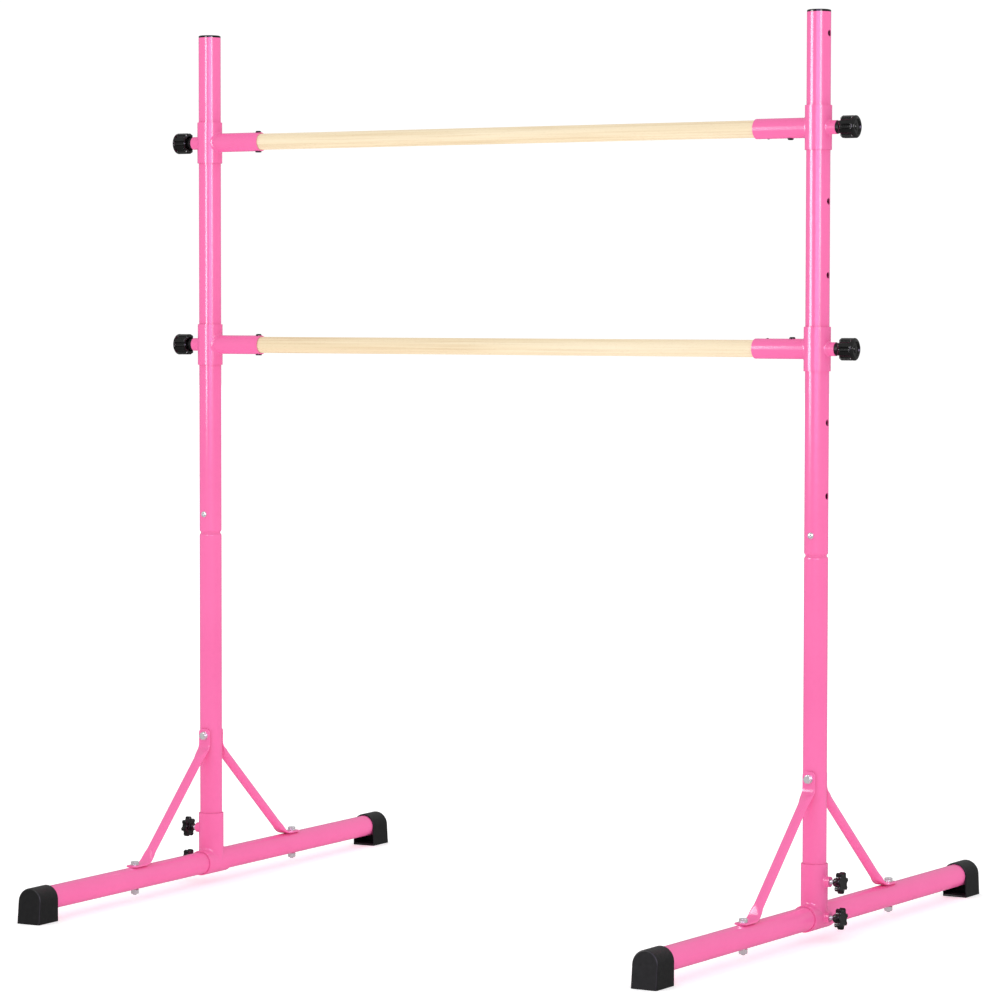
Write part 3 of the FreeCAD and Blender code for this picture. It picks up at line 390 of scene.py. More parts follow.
def black_plastic():
    """Moulded satin plastic with a fine spark-eroded texture."""
    finish = Finish("black_moulded_plastic", (0.004, 0.004, 0.004), 0.3)
    tone = finish.ramp(finish.noise(60.0, 3.0), [
        (0.3, (0.003, 0.003, 0.003)), (0.7, (0.006, 0.006, 0.006)),
    ])
    texture = finish.bump(finish.noise(2400.0, 2.0), 0.05, 0.00005)
    gloss = finish.spread(finish.noise(900.0, 3.0), 0.1, 0.16)
    return finish.use(Base_Color=tone, Roughness=gloss, Normal=texture, Specular_IOR_Level=0.5)


def black_rubber():
    """Matt rubber with fine grain; what faces up is painted a lighter grey, as painted light from
    above.
    """
    finish = Finish("black_rubber", (0.006, 0.006, 0.006), 0.6)
    normal = finish.tree.nodes.new("ShaderNodeNewGeometry")
    upright = finish.tree.nodes.new("ShaderNodeSeparateXYZ")
    finish.join(normal.outputs["Normal"], upright.inputs["Vector"])
    # painted light: faces that point up get a share of a lighter grey, as if lit from above
    painted_top_light = finish.spread(upright.outputs["Z"], 0.0, 0.6, 0.55, 1.0)
    dark = finish.ramp(finish.noise(140.0, 4.0), [
        (0.3, (0.004, 0.004, 0.004)), (0.7, (0.008, 0.008, 0.008)),
    ])
    # the lighter grey is painted top light, mixed in by the share above
    colour = finish.mix(painted_top_light, dark, (0.015, 0.015, 0.016))
    grain = finish.bump(finish.noise(1500.0, 3.0), 0.12, 0.0001)
    gloss = finish.spread(finish.noise(300.0, 3.0), 0.42, 0.55)
    return finish.use(Base_Color=colour, Roughness=gloss, Normal=grain, Specular_IOR_Level=0.4)


def zinc():
    """Bright zinc plate with a slightly cloudy passivation."""
    finish = Finish("zinc_plate", (0.82, 0.82, 0.84), 0.2, 0.6)
    tone = finish.ramp(finish.noise(260.0, 4.0), [
        (0.25, (0.70, 0.70, 0.72)), (0.5, (0.84, 0.84, 0.86)), (0.8, (0.92, 0.92, 0.90)),
    ])
    scratches = finish.noise(1.0, 3.0, finish.stretched((700.0, 5200.0, 900.0)))
    brushed = finish.bump(scratches, 0.08, 0.00005)
    gloss = finish.spread(finish.noise(500.0, 3.0), 0.14, 0.26)
    return finish.use(Base_Color=tone, Roughness=gloss, Normal=brushed)


def black_oxide():
    """Oiled black oxide on the small rail screws."""
    finish = Finish("black_oxide", (0.02, 0.019, 0.02), 0.35, 0.6)
    tone = finish.ramp(finish.noise(500.0, 3.0), [
        (0.3, (0.012, 0.011, 0.012)), (0.7, (0.028, 0.026, 0.027)),
    ])
    grain = finish.bump(finish.noise(3000.0, 2.0), 0.06, 0.00005)
    gloss = finish.spread(finish.noise(800.0, 3.0), 0.28, 0.42)
    return finish.use(Base_Color=tone, Roughness=gloss, Normal=grain, Specular_IOR_Level=0.3)


def floor_paper():
    """Nearly white seamless studio floor."""
    finish = Finish("studio_floor", (0.95, 0.95, 0.95), 0.85)
    tone = finish.ramp(finish.noise(3.0, 2.0), [
        (0.3, (0.945, 0.945, 0.945)), (0.7, (0.96, 0.96, 0.96)),
    ])
    return finish.use(Base_Color=tone, Emission_Color=tone, Emission_Strength=0.3)


def reflector():
    """Even grey glow, a little brighter towards the top."""
    finish = Finish("studio_reflector", (0, 0, 0), 1.0)
    height = finish.tree.nodes.new("ShaderNodeSeparateXYZ")
    finish.join(finish.place, height.inputs["Vector"])
    glow = finish.spread(height.outputs["Z"], 0.2, 0.46, -3.0, 6.0)
    finish.material.cycles.emission_sampling = "NONE"
    return finish.use(Emission_Color=glow, Emission_Strength=1.0, Specular_IOR_Level=0.0)


PINK = pink_coat()
BEECH = beech()
PLASTIC = black_plastic()
RUBBER = black_rubber()
ZINC = zinc()
OXIDE = black_oxide()
SLOT_MATERIALS = {
    "pink_steel": PINK, "beech": BEECH, "black_plastic": PLASTIC, "black_rubber": RUBBER,
    "zinc_steel": ZINC, "black_steel": OXIDE,
}


def dress_frame():
    """Give every CAD node the material of its slot."""
    for part in frame["record"]["subparts"]:
        node = NODES[part["node"]]
        slot = part["material_slot"]
        node.data.materials.clear()
        node.data.materials.append(SLOT_MATERIALS[slot])


# ------------------------------------------------------------------ shared shapes
def new_mesh():
    """Return an empty bmesh."""
    return bmesh.new()


def turned_part(mesh, matrix, outline, radius=0.3 * MM, segments=48, shape=None, closed=False):
    """Add a lathed part with rounded corners; the outline is in millimetres."""
    points = [tuple(value * MM for value in point) for point in outline]
    skin(mesh, lathe(rounded(points, radius, closed=closed), segments, shape, closed), matrix)


def hexagonal(mesh, matrix, across, start, end, bore=0.0):
    """Add a hexagonal head or nut whose corners are chamfered at both flat ends."""
    steep = math.tan(math.radians(60))
    half = across / 2

    def shape(angle, x, radius):
        """Return the hexagon's radius, cut back near both ends by the chamfer."""
        depth = min(x - start, end - x)
        return min(hexagon_radius(angle, across), 0.97 * half + depth * steep) * radius / half

    levels = [start, start + 0.15 * MM, start + 0.4 * MM, start + 0.8 * MM]
    levels += [end - 0.8 * MM, end - 0.4 * MM, end - 0.15 * MM, end]
    outline = [(level, half) for level in levels]
    rings = lathe(outline, 48, shape)
    if bore:
        inner = [(end, bore), (start, bore)]
        rings += lathe(inner, 48)
        rings.append(rings[0])
    else:
        rings.insert(0, [Vector((start, 0, 0))] * 48)
        rings.append([Vector((end, 0, 0))] * 48)
    skin(mesh, rings, matrix)


def threaded(mesh, matrix, start, end, radius, pitch):
    """Add a threaded rod with a chamfered tip."""
    rings = [[Vector((start, 0, 0))] * 24]
    for x in steps_between(start, end, pitch / 7):
        tip = min(1.0, 0.72 + (end - x) / pitch * 0.28)
        ring = []
        for index in range(24):
            angle = 2 * math.pi * index / 24
            ring.append(around(x, thread_radius(angle, x, radius, pitch) * tip, angle))
        rings.append(ring)
    rings.append([Vector((end, 0, 0))] * 24)
    skin(mesh, rings, matrix)


def branch_weld(mesh, matrix, trunk, branch, sign, reach, seed):
    """Add a hollow weld fillet where a tube leaves an upright sleeve along local X."""
    count = 96
    rings = []
    for index in range(count):
        angle = 2 * math.pi * index / count
        away = Vector((0, math.cos(angle), math.sin(angle)))
        across = branch * away.y
        foot = Vector((sign * math.sqrt(max(trunk ** 2 - across ** 2, 0)), across,
                       branch * away.z))
        outer = Vector((foot.x, foot.y, 0)).normalized()
        ripple = 1 + 0.07 * math.sin(1.7 * index + seed) + 0.05 * math.sin(0.6 * index)
        slide = (away - outer * away.dot(outer)).normalized() * reach * ripple
        on_trunk = foot + slide
        flat = Vector((on_trunk.x, on_trunk.y, 0)).normalized() * (trunk - 0.1 * MM)
        on_trunk = Vector((flat.x, flat.y, on_trunk.z))
        on_branch = foot + Vector((sign * reach * ripple, 0, 0)) - away * (0.1 * MM)
        ring = []
        for share in (0, 0.2, 0.4, 0.6, 0.8, 1.0):
            ring.append(on_trunk.lerp(foot, share).lerp(foot.lerp(on_branch, share), share))
        ring.append(foot - away * (1.5 * MM) - outer * (1.5 * MM))
        rings.append(ring)
    rings.append(rings[0])
    skin(mesh, rings, matrix)


def cross_recess(angle, depth_share):
    """Return how far a cross recess reaches at an angle, as a share of the head's radius."""
    quarter = math.pi / 2
    off = abs((angle + quarter / 2) % quarter - quarter / 2)
    arm = max(0.0, 1 - off / 0.42)
    return (0.16 + 0.36 * arm) * depth_share


def pan_head(mesh, matrix, radius, height, segments=48):
    """Add a pan head with a cross recess."""
    outline = [(0, radius), (0.25 * height, radius), (0.62 * height, 0.94 * radius),
               (0.88 * height, 0.80 * radius), (height, 0.62 * radius)]
    rings = [[Vector()] * segments]
    rings += lathe(outline, segments)
    angles = [2 * math.pi * index / segments for index in range(segments)]
    for depth, share in ((1.0, 1.0), (0.75, 0.9), (0.45, 0.75)):
        rings.append([around(depth * height, radius * cross_recess(angle, share), angle)
                      for angle in angles])
    rings.append([Vector((0.4 * height, 0, 0))] * segments)
    skin(mesh, rings, matrix)


# ------------------------------------------------------------------ stands
def post_cap(side):
    """Plastic cap with a slightly domed crown and a ribbed plug."""
    node = f"{side}_post_cap"
    low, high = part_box(node)
    rim = high.z - TOP_Z[side]
    plug = (low.z - TOP_Z[side]) / MM
    crown = rim / MM
    mesh = new_mesh()
    turned_part(mesh, along(Vector((POST_X[side], POST_Y, TOP_Z[side])), UP), [
        (plug, 0), (plug, 13.6), (plug + 1.2, 14.1), (-8, 14.1), (-7.4, 13.7), (-6.8, 14.1),
        (0.06, 14.1), (0.06, 15.9, 0.2), (crown - 0.9, 15.95, 1.3), (crown - 0.2, 13.5, 2.0),
        (crown, 5.0, 2.0), (crown, 0),
    ], 0.4 * MM, 96)
    finish_piece(f"{side}_cap", mesh, PLASTIC, "stands", [node])


def rubber_foot(side, end):
    """Arched rubber boot with soft edges, a leaning outer face and a pocket below the tube."""
    sign = ENDS[end]
    node = f"{side}_{end}_foot"
    low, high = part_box(f"right_{end}_foot")
    half = (high.x - low.x) / 2
    crown = high.z
    inner = min(abs(low.y - POST_Y), abs(high.y - POST_Y))
    outer = max(abs(low.y - POST_Y), abs(high.y - POST_Y))
    lean = 4.9 * MM
    soft = 2.0 * MM
    rim = 0.9 * MM
    wall = 3.2 * MM
    outline = [(half - 0.5 * MM, 0), (half, 0.6 * MM)]
    outline += [(half, FOOT_Z * share) for share in (0.25, 0.5, 0.75)]
    outline += [
        (half * math.cos(math.pi * index / 36), FOOT_Z + half * math.sin(math.pi * index / 36))
        for index in range(37)
    ]
    outline += [(-half, FOOT_Z * share) for share in (0.75, 0.5, 0.25)]
    outline += [(-half, 0.6 * MM), (-half + 0.5 * MM, 0)]

    def ring(inset, reach, lean_share):
        """Return the outline, shrunk by an inset and leaning by a share of the full lean."""
        scale_x = (half - inset) / half
        scale_z = (crown - inset) / crown
        return [
            Vector((x * scale_x, sign * (reach - lean * lean_share * z / crown), z * scale_z))
            for x, z in outline
        ]

    def hole(reach):
        """Return the tube's hole, widened below the tube into a pocket."""
        points = []
        for x, z in outline:
            way = Vector((x, 0, z - FOOT_Z))
            radius = POST_RADIUS + 0.05 * MM
            if z < FOOT_Z:
                radius = max(radius, way.length - wall)
            way = way.normalized() * radius
            points.append(Vector((way.x, sign * reach, way.z + FOOT_Z)))
        return points

    rings = [hole(outer - 10.5 * MM), hole(inner + 0.6 * MM)]
    rings.append([point.lerp(edge, 0.25) for point, edge in zip(hole(inner), ring(0, inner, 0))])
    for angle in (90, 60, 30, 0):
        turn = math.radians(angle)
        rings.append(ring(rim * (1 - math.cos(turn)), inner + rim * (1 - math.sin(turn)), 0))
    for share in (0.3, 0.6, 0.85):
        rings.append(ring(0, inner + (outer - inner) * share, share))
    for angle in (0, 25, 50, 75, 90):
        turn = math.radians(angle)
        rings.append(ring(soft * (1 - math.cos(turn)), outer - soft * (1 - math.sin(turn)), 1))
    mesh = new_mesh()
    skin(mesh, rings, STAND[side])
    finish_piece(f"{side}_{end}_boot", mesh, RUBBER, "stands", [node], 40.0)


def strut(side, end):
    """Round strut that is pressed flat and bent at both ends."""
    sign = ENDS[end]
    node = f"{side}_{end}_strut"
    low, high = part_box(f"right_{end}_strut")
    near = min(abs(low.y - POST_Y), abs(high.y - POST_Y))
    far = max(abs(low.y - POST_Y), abs(high.y - POST_Y))
    flat = STRUT_PLATE / 2
    half_width = (high.x - low.x) / 2
    radius = 6.5 * MM
    top = Vector((0, near + flat, high.z))
    upper = Vector((0, near + flat, STRUT_BEND))
    lower = Vector((0, far - 36 * MM, low.z + flat))
    tip = Vector((0, far, low.z + flat))
    path = smooth_path([top, upper, lower, tip], [7 * MM, 9 * MM])
    lengths = [0.0]
    for one, other in zip(path, path[1:]):
        lengths.append(lengths[-1] + (other - one).length)
    total = lengths[-1]
    upper_at = (upper - top).length
    lower_at = total - (tip - lower).length
    rings = []
    corner = 5.5 * MM
    for index, (point, at) in enumerate(zip(path, lengths)):
        ahead = path[min(index + 1, len(path) - 1)]
        behind = path[max(index - 1, 0)]
        heading = (ahead - behind).normalized()
        depth_way = Vector((0, -heading.z, heading.y))
        open_up = smoothstep(upper_at + 1 * MM, upper_at + 25 * MM, at)
        close_up = smoothstep(lower_at - 1 * MM, lower_at - 25 * MM, at)
        round_share = min(open_up, close_up)
        width = half_width + (radius - half_width) * round_share
        depth = flat + (radius - flat) * round_share
        edge = min(at, total - at)
        if edge < corner:
            width -= corner - math.sqrt(max(corner ** 2 - (corner - edge) ** 2, 0))
        power = 2 + 5 * (1 - round_share)
        rings.append([
            Vector((x * width, point.y + depth_way.y * z * depth, point.z + depth_way.z * z * depth))
            for x, z in superellipse(40, power)
        ])
    for ring in rings:
        for point in ring:
            point.y *= sign
    mesh = new_mesh()
    skin(mesh, rings, STAND[side])
    finish_piece(f"{side}_{end}_brace", mesh, PINK, "stands", [node], 50.0)


def superellipse(count, power):
    """Return points of a unit superellipse: power 2 is a circle, more is squarer."""
    return [
        (math.copysign(abs(a) ** (2 / power), a), math.copysign(abs(b) ** (2 / power), b))
        for a, b in circle(count, math.pi / count)
    ]


def smooth_path(corners, radii, step=2.0 * MM):
    """Return points along a polyline whose inner corners are rounded."""
    pieces = [corners[0]]
    for before, corner, after, radius in zip(corners, corners[1:], corners[2:], radii):
        start = corner + (before - corner).normalized() * radius
        end = corner + (after - corner).normalized() * radius
        pieces += [start.lerp(corner, share).lerp(corner.lerp(end, share), share)
                   for share in (0, 0.125, 0.25, 0.375, 0.5, 0.625, 0.75, 0.875, 1)]
    pieces.append(corners[-1])
    path = [pieces[0]]
    for one, other in zip(pieces, pieces[1:]):
        count = max(1, math.ceil((other - one).length / step))
        path += [one.lerp(other, index / count) for index in range(1, count + 1)]
    return path


def tee_welds(side):
    """Fillets where the tee's two sleeves and its nut bosses meet."""
    mesh = new_mesh()
    rings = []
    for index in range(96):
        angle = 2 * math.pi * index / 96
        on_post = Vector((math.cos(angle), math.sin(angle), 0))
        on_foot = Vector((math.cos(angle), 0, abs(math.sin(angle))))
        root = Vector((on_post.x, on_post.y, on_foot.z)) * SLEEVE_RADIUS
        ripple = 1 + 0.05 * math.sin(1.9 * index) + 0.04 * math.sin(0.5 * index)
        reach = (0.3 + 3.9 * smoothstep(0, 0.6, on_foot.z) * ripple) * MM
        high = root + UP * reach - on_post * (0.1 * MM)
        low = root + Vector((0, math.copysign(reach, root.y), 0)) - on_foot * (0.1 * MM)
        ring = [high.lerp(root, share).lerp(root.lerp(low, share), share)
                for share in (0, 0.2, 0.4, 0.6, 0.8, 1.0)]
        ring.append(root - (on_post + on_foot) * MM)
        rings.append(ring)
    rings.append(rings[0])
    skin(mesh, rings, STAND[side] @ Matrix.Translation((0, 0, FOOT_Z)))
    lie_down = Matrix.Rotation(math.pi / 2, 4, "X")
    for matrix, seed in ((outward(side, POST_KNOB_Z, True), 2.0),
                         (outward(side, FOOT_Z, True) @ lie_down, 3.0)):
        branch_weld(mesh, matrix, SLEEVE_RADIUS, BOSS_RADIUS["tee"], 1, 2.4 * MM, seed)
    finish_piece(f"{side}_tee_welds", mesh, PINK, "stands", sharp=60.0)


# ------------------------------------------------------------------ fasteners
def strut_fasteners():
    """Bolts, nuts and washers of the struts."""
    bolts = new_mesh()
    nuts = new_mesh()
    foot_bolts = new_mesh()
    foot_nuts = new_mesh()
    washers = new_mesh()
    seat = POST_RADIUS + STRUT_PLATE + 0.05 * MM
    for side in SIDES:
        level = Vector((0, 0, STRUT_BOLT_Z))
        head_side = STAND[side] @ along(level + FRONT * seat, FRONT)
        nut_side = STAND[side] @ along(level + BACK * seat, BACK)
        for matrix in (head_side, nut_side):
            washer(washers, matrix)
        bolt_head(bolts, head_side)
        nut_with_thread(nuts, bolts, nut_side)
        for sign in ENDS.values():
            y = sign * FOOT_BOLT + SETBACK
            top = STAND[side] @ along(Vector((0, y, FOOT_Z + seat)), UP)
            low = STAND[side] @ along(Vector((0, y, FOOT_Z - POST_RADIUS)), DOWN)
            for matrix in (top, low):
                washer(washers, matrix)
            bolt_head(foot_bolts, top)
            nut_with_thread(foot_nuts, foot_bolts, low)
    for name, mesh, nodes in (
        ("brace_top_bolts", bolts, ["strut_top_bolts"]),
        ("brace_top_nuts", nuts, ["strut_top_nuts"]),
        ("brace_foot_bolts", foot_bolts, ["strut_foot_bolts"]),
        ("brace_foot_nuts", foot_nuts, ["strut_foot_nuts"]),
        ("brace_washers", washers, ["strut_washers"]),
    ):
        finish_piece(name, mesh, ZINC, "stands", nodes)


def washer(mesh, matrix):
    """Add a flat washer with rounded rims."""
    turned_part(mesh, matrix, [(0.02, 3.3), (0.02, 6.0), (1.18, 6.0), (1.18, 3.3)], 0.3 * MM,
                48, closed=True)


def bolt_head(mesh, matrix):
    """Add a hexagonal head on its washer, with a low washer face."""
    turned_part(mesh, matrix, [(1.2, 0), (1.2, 4.7), (1.45, 4.7), (1.45, 0)], 0.05 * MM)
    hexagonal(mesh, matrix, 10 * MM, 1.4 * MM, 5.2 * MM)


def nut_with_thread(nuts, bolts, matrix):
    """Add a nut on its washer and the bolt's end that stands out of it."""
    hexagonal(nuts, matrix, 10 * MM, 1.2 * MM, 6.2 * MM, 3.0 * MM)
    threaded(bolts, matrix, 3.0 * MM, 8.0 * MM, 2.95 * MM, 1.0 * MM)


def joint_fasteners():
    """Button-head bolts in the posts' joints, and their nuts."""
    bolts = new_mesh()
    nuts = new_mesh()
    for side in SIDES:
        post = Vector((POST_X[side], POST_Y, JOINT_Z))
        head = along(post + FRONT * POST_RADIUS, FRONT)
        segments = 48
        outline = [(-0.6, 4.1), (0.1, 4.35), (0.7, 4.4), (1.5, 4.0), (2.2, 3.2), (2.65, 2.3)]
        rings = [[Vector((-0.6 * MM, 0, 0))] * segments]
        rings += lathe([(x * MM, r * MM) for x, r in outline], segments)
        rings += lathe([(2.7 * MM, 1.55 * MM), (1.4 * MM, 1.45 * MM)], segments,
                       lambda angle, x, radius: hexagon_radius(angle, 2 * radius))
        rings.append([Vector((1.1 * MM, 0, 0))] * segments)
        skin(bolts, rings, head)
        back = along(post + BACK * POST_RADIUS, BACK)
        hexagonal(nuts, back, 8 * MM, 0.0, 4.0 * MM, 2.5 * MM)
        threaded(bolts, back, 1.5 * MM, 5.7 * MM, 2.45 * MM, 0.8 * MM)
    finish_piece("joint_bolts", bolts, ZINC, "stands", ["post_joint_bolts"])
    finish_piece("joint_nuts", nuts, ZINC, "stands", ["post_joint_nuts"])


# ------------------------------------------------------------------ star knobs
def star_knob(side, name, height):
    """Seven-lobed clamp knob on a threaded stud; the left post's knob stands half a lobe round."""
    body = f"{side}_{name}_knob"
    notch = -math.pi / 2 if (side, name) == ("left", "post") else math.pi / 2
    matrix = outward(side, height, True)
    tip = 15.0
    reach = 15.8
    cutter = 4.75

    def lobed(angle, _, radius):
        """Return the radius of the lobed outline, with soft edges at the notches."""
        sector = 2 * math.pi / 7
        off = abs((angle - notch + sector / 2) % sector - sector / 2)
        across = reach * math.sin(off)
        root = tip
        if abs(across) < cutter:
            root = reach * math.cos(off) - math.sqrt(cutter ** 2 - across ** 2)
        blend = 0.9
        gap = max(blend - abs(tip - root), 0) / blend
        full = min(tip, root) - gap * gap * blend / 4
        return radius * full / tip

    hub = 29.5
    start = 35.3
    end = 43.6
    mesh = new_mesh()
    outline = [(hub, 3.0), (hub, 4.8, 0.3), (hub + 0.7, 5.5, 0.4), (start - 1.5, 5.5, 1.0),
               (start, 6.2, 0.4)]
    neck = rounded([tuple(value * MM for value in point) for point in outline], 0.4 * MM)
    rings = lathe(neck, 168)
    rim = [
        (start + 0.05, 9.0), (start, 12.6), (start + 0.15, 13.9), (start + 0.5, 14.6),
        (start + 1.2, 14.95), (end - 1.3, 14.95), (end - 0.55, 14.65), (end - 0.15, 14.0),
        (end, 13.0), (end, 10.6), (end - 0.35, 10.1), (end - 0.4, 6.0),
    ]
    rings += lathe([(x * MM, r * MM) for x, r in rim], 168, lobed)
    rings.append([Vector(((end - 0.4) * MM, 0, 0))] * 168)
    skin(mesh, rings, matrix)
    finish_piece(f"{side}_{name}_star", mesh, PLASTIC, body,
                 [f"{side}_{name}_star_knob"], 38.0)

    stud = new_mesh()
    threaded(stud, matrix @ Matrix.Rotation(math.pi, 4, "Z"), -38 * MM, -16.4 * MM, 2.95 * MM, 1.0 * MM)
    finish_piece(f"{side}_{name}_thread", stud, ZINC, body, [f"{side}_{name}_stud"])


# ------------------------------------------------------------------ rails
def clamp_welds(rail, side):
    """Fillets round the arm or stub and round the pin's boss."""
    mesh = new_mesh()
    matrix = outward(side, RAIL_Z[rail])
    branch_weld(mesh, matrix, SLEEVE_RADIUS, ARM_RADIUS, -1, 3.6 * MM, 1.5)
    branch_weld(mesh, matrix, SLEEVE_RADIUS, BOSS_RADIUS["pin"], 1, 2.8 * MM, 2.5)
    finish_piece(f"{rail}_{side}_clamp_welds", mesh, PINK, f"{rail}_rail", sharp=60.0)


def rail_screws(rail):
    """Screw and nut through the left arm, and the screw and nail in the right ferrule."""
    mesh = new_mesh()
    z = RAIL_Z[rail]
    sign = -1 if rail == "upper" else 1
    way = DOWN if rail == "upper" else UP
    arm = Vector((POST_X["left"] + ARM_SCREW_REACH, POST_Y, z))
    pan_head(mesh, along(arm + UP * ARM_RADIUS, UP), 4.1 * MM, 2.2 * MM)
    nut_place = along(arm + DOWN * ARM_RADIUS, DOWN)
    hexagonal(mesh, nut_place, 8 * MM, 0, 1.7 * MM, 2.5 * MM)
    threaded(mesh, nut_place, 0.5 * MM, 1.7 * MM, 2.4 * MM, 0.8 * MM)
    ferrule = Vector((POST_X["right"] - FERRULE_SCREW_REACH[rail], POST_Y, z + sign * ARM_RADIUS))
    pan_head(mesh, along(ferrule, way), 4.1 * MM, 2.2 * MM)
    nail = Vector((POST_X["right"] - NAIL_REACH, POST_Y, z + sign * ARM_RADIUS))
    turned_part(mesh, along(nail, way), [(-1.0, 0), (-1.0, 0.9), (0, 0.9), (0, 1.6, 0.1),
                                         (0.45, 1.55, 0.3), (0.7, 0.8, 0.5), (0.7, 0)], 0.1 * MM, 24)
    finish_piece(f"{rail}_fasteners", mesh, OXIDE, f"{rail}_rail",
                 [f"{rail}_rail_screws"])


# ------------------------------------------------------------------ spring pull pins
def pin_barrel(rail, side):
    """Blackened barrel: thread in the boss, knurled flange and smooth neck."""
    mesh = new_mesh()
    body = f"{rail}_rail"

    def knurled(angle, x, radius):
        """Return the radius with fine grooves on the flange."""
        if radius > 8.2 * MM and 28.7 * MM < x < 32.5 * MM:
            return radius - 0.16 * MM * (0.5 + 0.5 * math.cos(36 * angle))
        return radius

    turned_part(mesh, outward(side, RAIL_Z[rail]), [
        (18.45, 4.1), (18.45, 6.0), (28.22, 6.0), (28.22, 8.4, 0.4), (28.7, 8.4), (32.5, 8.4),
        (33.0, 8.4, 0.5), (33.0, 6.0), (40.0, 6.0, 0.6), (40.0, 2.6), (38.9, 2.6), (38.9, 4.8),
        (19.5, 4.8), (19.5, 4.1),
    ], 0.25 * MM, 144, knurled, closed=True)
    finish_piece(f"{rail}_{side}_barrel", mesh, OXIDE, body,
                 [f"{rail}_{side}_pin_barrel"])


def pin_spring(rail, side):
    """Compression spring with closed ends, which pulling the knob presses against the barrel; it is
    drawn at rest and is not squashed here.
    """
    node = f"{rail}_{side}_pin_spring"
    low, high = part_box(node)
    wire = 0.45 * MM
    coil = (high.z - low.z) / 2 - wire
    near = min(abs(low.x - POST_X[side]), abs(high.x - POST_X[side])) + wire
    far = max(abs(low.x - POST_X[side]), abs(high.x - POST_X[side])) - wire
    turns = 7.5
    rings = []
    steps = int(turns * 28)
    for index in range(steps + 1):
        share = index / steps
        climb = smoothstep(0.0, 0.16, share) - smoothstep(0.84, 1.0, share)
        x = near + (far - near) * (0.08 * share + 0.92 * smoothstep(0.04, 0.96, share))
        angle = 2 * math.pi * turns * share
        outer = Vector((0, math.cos(angle), math.sin(angle)))
        middle = Vector((x, 0, 0)) + outer * coil
        slim = 0.97 + 0.03 * climb
        rings.append([middle + outer * (a * wire * slim) + Vector((b * wire * slim, 0, 0))
                      for a, b in circle(10)])
    mesh = new_mesh()
    skin(mesh, rings, outward(side, RAIL_Z[rail]))
    piece = finish_piece(f"{rail}_{side}_coil", mesh, ZINC, f"{rail}_rail", [node])
    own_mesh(piece)


def pull_knob(rail, side):
    """Pull knob: eight deep flutes, a smooth nose, and a raised ring round a dished face."""
    body = f"{rail}_{side}_pin"
    start = 35.8
    end = 57.8
    flute_end = end - 4.6
    rim = 15.0
    reach = 16.4
    cutter = 3.8

    def fluted(angle, x, radius):
        """Return the radius with eight round flutes that fade out before the nose."""
        sector = math.pi / 4
        off = abs((angle + sector / 2) % sector - sector / 2)
        across = reach * math.sin(off)
        root = rim
        if abs(across) < cutter:
            root = reach * math.cos(off) - math.sqrt(cutter ** 2 - across ** 2)
        fade = 1 - smoothstep(flute_end - 0.6, flute_end + 0.9, x / MM)
        cut = (rim - root) * fade
        blend = 0.5
        if 0 < cut < blend:
            cut = cut * cut / blend
        share = smoothstep(11.0, 14.0, radius / MM)
        return radius - cut * MM * share

    outline = [(start + 7, 2.5), (start + 7, 10.5, 0.4), (start, 10.5, 0.5)]
    outline += [(start, 13.9, 1.3), (start + 1.6, 15.0, 1.2)]
    outline += [(x, 15.0, 0) for x in (start + 4, start + 8, start + 12)]
    outline += [(flute_end - 0.8, 15.0, 0), (flute_end - 0.4, 15.0, 0), (flute_end, 15.0, 0)]
    outline += [(flute_end + 0.4, 15.0, 0), (flute_end + 0.9, 15.0, 0)]
    outline += [(end - 1.9, 15.0, 2.2), (end - 0.9, 12.9, 0.9), (end - 0.8, 12.2, 0.5)]
    outline += [(end, 11.6, 0.7), (end, 9.6, 0.7), (end - 1.9, 8.8, 0.8), (end - 1.9, 4.8, 0.6)]
    outline += [(end - 0.9, 4.2, 0.5), (end - 0.7, 1.2, 0.4), (end - 0.75, 0)]
    points = [tuple(value * MM for value in point) for point in outline]
    rings = lathe(rounded(points, 0.3 * MM), 192, fluted)
    mesh = new_mesh()
    skin(mesh, rings, outward(side, RAIL_Z[rail]))
    finish_piece(f"{rail}_{side}_grip", mesh, PLASTIC, body,
                 [f"{rail}_{side}_pull_knob"], 38.0)


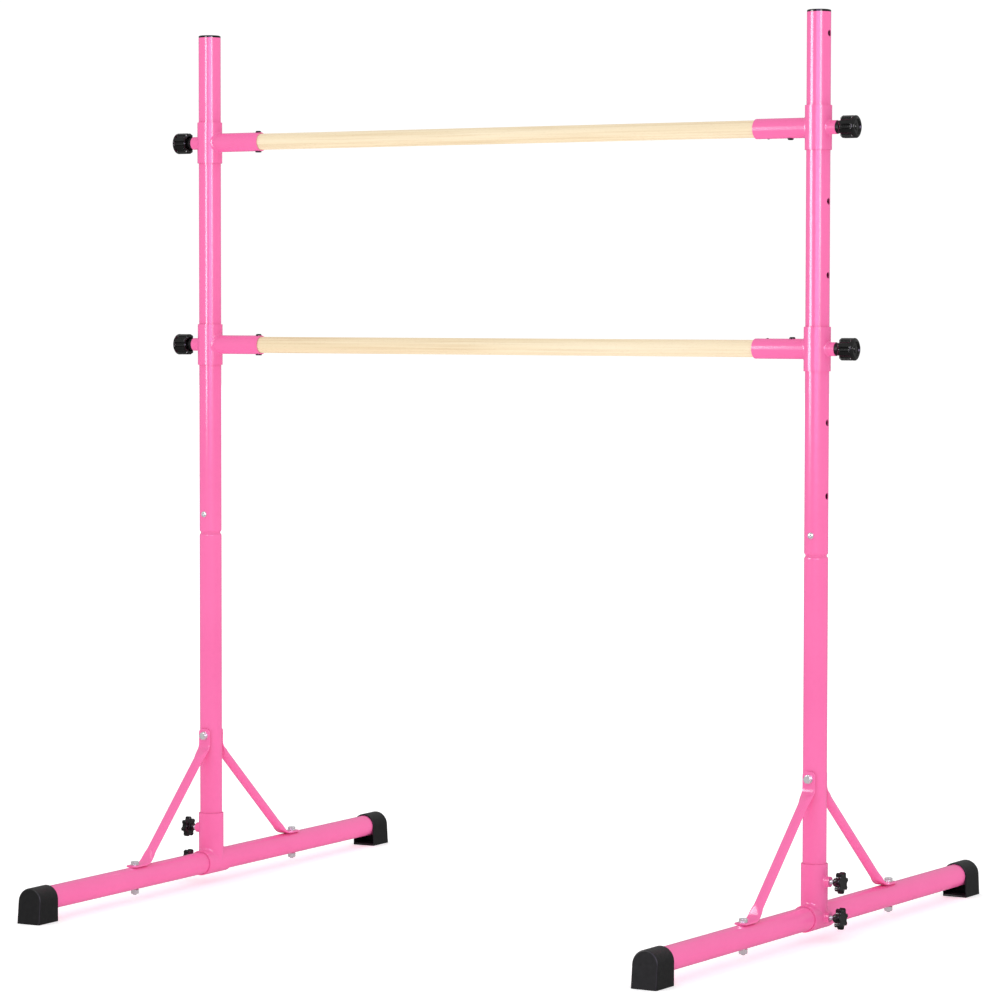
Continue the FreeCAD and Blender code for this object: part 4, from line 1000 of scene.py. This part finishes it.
# ------------------------------------------------------------------ studio
def studio():
    """Pale floor, reflector dome, white world and soft lights."""
    floor_data = bpy.data.meshes.new("studio_floor")
    half = 30.0
    floor_data.from_pydata(
        [(-half, -half, 0), (half, -half, 0), (half, half, 0), (-half, half, 0)], [], [(0, 1, 2, 3)])
    floor_data.materials.append(floor_paper())
    floor = bpy.data.objects.new("studio_floor", floor_data)
    bpy.context.scene.collection.objects.link(floor)
    floor.visible_glossy = False

    mesh = new_mesh()
    bmesh.ops.create_uvsphere(mesh, u_segments=48, v_segments=24, radius=9.0)
    dome_data = bpy.data.meshes.new("studio_reflector")
    mesh.to_mesh(dome_data)
    mesh.free()
    dome_data.materials.append(reflector())
    dome = bpy.data.objects.new("studio_reflector", dome_data)
    dome.visible_camera = False
    dome.visible_diffuse = False
    dome.visible_shadow = False
    bpy.context.scene.collection.objects.link(dome)

    world = bpy.data.worlds.new("studio")
    world.use_nodes = True
    background = world.node_tree.nodes["Background"]
    background.inputs["Color"].default_value = (1, 1, 1, 1)
    background.inputs["Strength"].default_value = 1.04
    bpy.context.scene.world = world

    softbox("left_panel", (-0.52, -1.14, 1.08), (0.6, -0.79, 1.08), (0.75, 0.84), 28.0)
    softbox("right_panel", (2.52, -1.92, 1.46), (0.3, 0, 1.2), (0.8, 1.2), 36.0)
    softbox("sheen_panel", (1.25, -2.17, 1.25), (0, 0, 1.0), (1.5, 1.3), 36.0, (0.7, 0.5, 1.0))


def softbox(name, place, target, shape, power, colour=(1, 1, 1)):
    """Add a rectangular area light that faces a target and only makes highlights."""
    data = bpy.data.lights.new(name, "AREA")
    data.shape = "RECTANGLE"
    data.size, data.size_y = shape
    data.energy = power
    data.color = colour
    light = bpy.data.objects.new(name, data)
    light.location = place
    light.rotation_euler = (Vector(target) - Vector(place)).to_track_quat("-Z", "Y").to_euler()
    light.visible_camera = False
    light.visible_diffuse = False
    bpy.context.scene.collection.objects.link(light)


def camera():
    """Add the camera: a long lens at rail height, to the right of the object and in front."""
    place = Vector((2.8476, -4.6429, 0.8381))
    azimuth = math.radians(31.5756)
    pitch = math.radians(2.8019)
    roll = math.radians(0.088)
    forward = Vector((-math.sin(azimuth) * math.cos(pitch), math.cos(azimuth) * math.cos(pitch),
                      -math.sin(pitch)))
    level = Vector((math.cos(azimuth), math.sin(azimuth), 0))
    upward = level.cross(forward)
    right = level * math.cos(roll) + upward * math.sin(roll)
    top = upward * math.cos(roll) - level * math.sin(roll)
    data = bpy.data.cameras.new("camera")
    data.lens = 140.875
    data.sensor_width = 36.0
    shot = bpy.data.objects.new("camera", data)
    rotation = Matrix((right, top, -forward)).transposed().to_4x4()
    shot.matrix_world = Matrix.Translation(place) @ rotation
    bpy.context.scene.collection.objects.link(shot)
    bpy.context.scene.camera = shot
    bpy.context.scene.view_settings.view_transform = "Standard"


dress_frame()
for side in SIDES:
    post_cap(side)
    tee_welds(side)
    star_knob(side, "post", POST_KNOB_Z)
    star_knob(side, "foot", FOOT_Z)
    for end in ENDS:
        rubber_foot(side, end)
        strut(side, end)
strut_fasteners()
joint_fasteners()
for rail in RAILS:
    rail_screws(rail)
    for side in SIDES:
        clamp_welds(rail, side)
        pin_barrel(rail, side)
        pin_spring(rail, side)
        pull_knob(rail, side)
studio()
camera()
